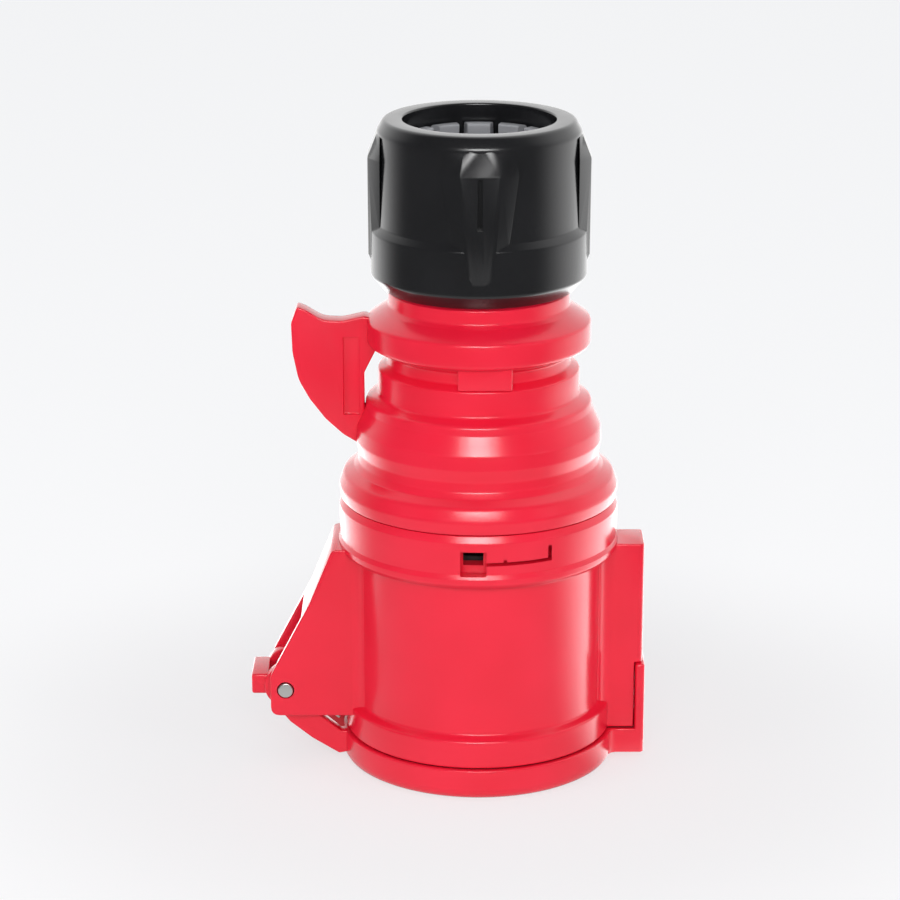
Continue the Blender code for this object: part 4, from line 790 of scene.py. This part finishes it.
def make_cable_seal(material):
    """A rubber sleeve with five ribs in its bore."""
    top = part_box("cable_seal")[1][2]
    ribs = []
    for index in range(5):
        level = SEAL_Z + 3.0 * MM + index * 3.0 * MM
        ribs += [(11.2 * MM, level, 0.4 * MM), (12.0 * MM, level + 1.5 * MM, 0.4 * MM)]
    seal = turned("seal_sleeve", [
        (20.3 * MM, top, 0.6 * MM),
        (20.3 * MM, SEAL_Z, 0.6 * MM),
        (12.8 * MM, SEAL_Z, 0.4 * MM),
        *ribs,
        (12.8 * MM, top, 0.4 * MM),
    ], SLEEVE_STEPS)
    dress(seal, material, "socket_body", "seal_rubber", "cable_seal")


def make_pin(material):
    pin = hinge_rod("pin", PIN_RADIUS, -PIN_HALF, PIN_HALF, 0.4 * MM)
    dress(pin, material, "socket_body", "steel", "hinge_pin")


def make_materials():
    return {
        "red": moulded("red_moulded", RED, RED_DEEP, 0.22, 0.045, 3800.0, 0.012 * MM, coat=0.15),
        "black": moulded("black_moulded", BLACK, BLACK_SOFT, 0.21, 0.05, 3000.0, 0.015 * MM, coat=0.1),
        "clamp": moulded("clamp_moulded", CLAMP_GREY, CLAMP_GREY, 0.42, 0.06, 3000.0, 0.03 * MM),
        "carrier": moulded("carrier_moulded", CARRIER_GREY, BLACK_SOFT, 0.48, 0.08, 2600.0, 0.05 * MM),
        "rubber": moulded("rubber_moulded", RUBBER, BLACK_SOFT, 0.68, 0.12, 1800.0, 0.08 * MM),
        "steel": machined("steel_turned", STEEL, 0.28, 0.12, 900.0, 0.004 * MM),
        "brass": machined("brass_turned", BRASS, 0.28, 0.12, 700.0, 0.006 * MM),
    }


def dress_inside(materials):
    """Finishes for the CAD nodes that keep their own shape."""
    steel = ("spring_ring", "terminal_screw", "carrier_screw", "lid_spring")
    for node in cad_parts:
        if node in ("contact_face", "contact_carrier", "terminal_plate"):
            paint(node, materials["carrier"])
        elif node.startswith("contact_"):
            paint(node, materials["brass"])
        elif node.startswith(steel):
            paint(node, materials["steel"])
        elif node in ("lid_gasket", "housing_seal"):
            paint(node, materials["rubber"])
        elif node == "pressure_ring":
            paint(node, materials["clamp"])


def vector_length(nodes, links, source):
    measure = nodes.new("ShaderNodeVectorMath")
    measure.operation = "LENGTH"
    links.new(source, measure.inputs[0])
    return measure.outputs["Value"]


def brighter_behind(nodes, links, source):
    """Dark in front, bright at the sides and behind, most of all on the right."""
    unit = nodes.new("ShaderNodeVectorMath")
    unit.operation = "NORMALIZE"
    links.new(source, unit.inputs[0])
    turn = nodes.new("ShaderNodeVectorMath")
    turn.operation = "DOT_PRODUCT"
    turn.inputs[1].default_value = BRIGHT_SIDE
    links.new(unit.outputs["Vector"], turn.inputs[0])
    return ramp(nodes, links, turn.outputs["Value"], BRIGHT_FROM, BRIGHT_TO, FRONT_GLOW, BACK_GLOW)


def mixed(nodes, links, choice, first, second):
    mix = nodes.new("ShaderNodeMixShader")
    links.new(choice, mix.inputs["Fac"])
    links.new(first, mix.inputs[1])
    links.new(second, mix.inputs[2])
    return mix.outputs["Shader"]


def make_paper():
    """Pale paper that shows its own colour to the camera, dimmed near the object as a painted shadow, and
    still takes the object's real shadow.
    """
    material = bpy.data.materials.new("paper")
    material.use_nodes = True
    nodes = material.node_tree.nodes
    links = material.node_tree.links
    nodes.clear()
    path = nodes.new("ShaderNodeLightPath")
    plain = nodes.new("ShaderNodeBsdfDiffuse")
    plain.inputs["Color"].default_value = (FLOOR_BOUNCE, FLOOR_BOUNCE, FLOOR_BOUNCE, 1.0)
    mirrored = nodes.new("ShaderNodeEmission")
    place = nodes.new("ShaderNodeTexCoord")
    away = vector_length(nodes, links, place.outputs["Object"])
    total = nodes.new("ShaderNodeMath")
    total.operation = "MULTIPLY_ADD"
    links.new(brighter_behind(nodes, links, place.outputs["Object"]), total.inputs[0])
    links.new(ramp(nodes, links, away, MIRROR_NEAR, MIRROR_FAR, NEAR_BOOST, 1.0), total.inputs[1])
    links.new(ramp(nodes, links, away, MIRROR_NEAR, MIRROR_FAR, NEAR_GLOW, 0.0), total.inputs[2])
    links.new(total.outputs["Value"], mirrored.inputs["Strength"])
    shaded = nodes.new("ShaderNodeBsdfDiffuse")
    shaded.inputs["Color"].default_value = (FLOOR_BODY, FLOOR_BODY, FLOOR_BODY, 1.0)
    glowing = nodes.new("ShaderNodeEmission")
    glowing.inputs["Color"].default_value = (*PAPER, 1.0)
    # the paper's own glow is dimmer near the object than further out: a painted shadow round its foot
    glow = ramp(nodes, links, away, GLOW_NEAR, GLOW_FAR, GLOW_IN_PAINTED_SHADOW, GLOW_OUTSIDE)
    links.new(glow, glowing.inputs["Strength"])
    both = nodes.new("ShaderNodeAddShader")
    links.new(shaded.outputs["BSDF"], both.inputs[0])
    links.new(glowing.outputs["Emission"], both.inputs[1])
    glossy = path.outputs["Is Glossy Ray"]
    unseen = mixed(nodes, links, glossy, plain.outputs["BSDF"], mirrored.outputs["Emission"])
    whole = mixed(nodes, links, path.outputs["Is Camera Ray"], unseen, both.outputs["Shader"])
    output = nodes.new("ShaderNodeOutputMaterial")
    links.new(whole, output.inputs["Surface"])
    return material


def make_floor():
    bm = bmesh.new()
    bmesh.ops.create_grid(bm, x_segments=1, y_segments=1, size=FLOOR_HALF)
    floor = from_bmesh("floor", bm)
    floor.location = (0.0, 0.0, CAD_BOX[0][2] - FLOOR_DROP)
    floor.data.materials.append(make_paper())


def make_world():
    world = bpy.data.worlds.new("studio")
    bpy.context.scene.world = world
    world.use_nodes = True
    nodes = world.node_tree.nodes
    links = world.node_tree.links
    nodes.clear()
    path = nodes.new("ShaderNodeLightPath")
    ambient = nodes.new("ShaderNodeBackground")
    ambient.inputs["Strength"].default_value = AMBIENT
    mirrored = nodes.new("ShaderNodeBackground")
    place = nodes.new("ShaderNodeTexCoord")
    links.new(brighter_behind(nodes, links, place.outputs["Generated"]), mirrored.inputs["Strength"])
    seen = nodes.new("ShaderNodeBackground")
    seen.inputs["Color"].default_value = (*PAPER, 1.0)
    glossy = path.outputs["Is Glossy Ray"]
    unseen = mixed(nodes, links, glossy, ambient.outputs["Background"], mirrored.outputs["Background"])
    whole = mixed(nodes, links, path.outputs["Is Camera Ray"], unseen, seen.outputs["Background"])
    output = nodes.new("ShaderNodeOutputWorld")
    links.new(whole, output.inputs["Surface"])


def add_softbox(name, place, width, height, power, mirrored=True, lit=True):
    """A rectangular lamp aimed at the middle of the object."""
    target = (0.0, 0.0, 0.09)
    light = bpy.data.lights.new(name, "AREA")
    light.shape = "RECTANGLE"
    light.size = width
    light.size_y = height
    light.energy = power
    thing = bpy.data.objects.new(name, light)
    bpy.context.scene.collection.objects.link(thing)
    thing.location = place
    thing.rotation_euler = (Vector(target) - Vector(place)).to_track_quat("-Z", "Y").to_euler()
    thing.visible_glossy = mirrored
    thing.visible_diffuse = lit


def make_lights():
    """Soft light from the front and both sides; the glint shows only in reflections, the last three never."""
    add_softbox("front_softbox", (0.0, -1.3, 0.78), 0.9, 0.4, 7.3)
    add_softbox("glint_softbox", (0.0, -1.26, 0.76), 0.45, 0.24, 3.8, lit=False)
    add_softbox("low_softbox", (0.0, -1.5, 0.3), 1.4, 0.3, 3.6, mirrored=False)
    add_softbox("left_fill", (-1.2, -0.7, 0.4), 0.5, 0.5, 3.6, mirrored=False)
    add_softbox("right_fill", (1.2, -0.7, 0.4), 0.5, 0.5, 3.6, mirrored=False)


def make_camera():
    """Looks down at the object at 17 degrees, with the axis a little right of the middle of the frame."""
    height = CAD_BOX[1][2] - CAD_BOX[0][2]
    data = bpy.data.cameras.new("camera")
    data.sensor_width = SENSOR
    data.lens = LENS
    camera = bpy.data.objects.new("camera", data)
    bpy.context.scene.collection.objects.link(camera)
    camera.location = (CAMERA_X, -CAMERA_AWAY * height, CAMERA_UP * height)
    camera.rotation_euler = (math.radians(90.0 - CAMERA_PITCH), 0.0, 0.0)
    bpy.context.scene.camera = camera


make_camera()
make_world()
make_floor()
make_lights()
FINISHES = make_materials()
make_front_shell(FINISHES["red"])
make_rear_shell(FINISHES["red"])
make_lid_shell(FINISHES["red"])
make_nut_shell(FINISHES["black"])
make_cage(FINISHES["clamp"])
make_cable_seal(FINISHES["rubber"])
make_pin(FINISHES["steel"])
make_thread(FINISHES["red"])
dress_inside(FINISHES)
bpy.context.scene.view_settings.view_transform = "Standard"
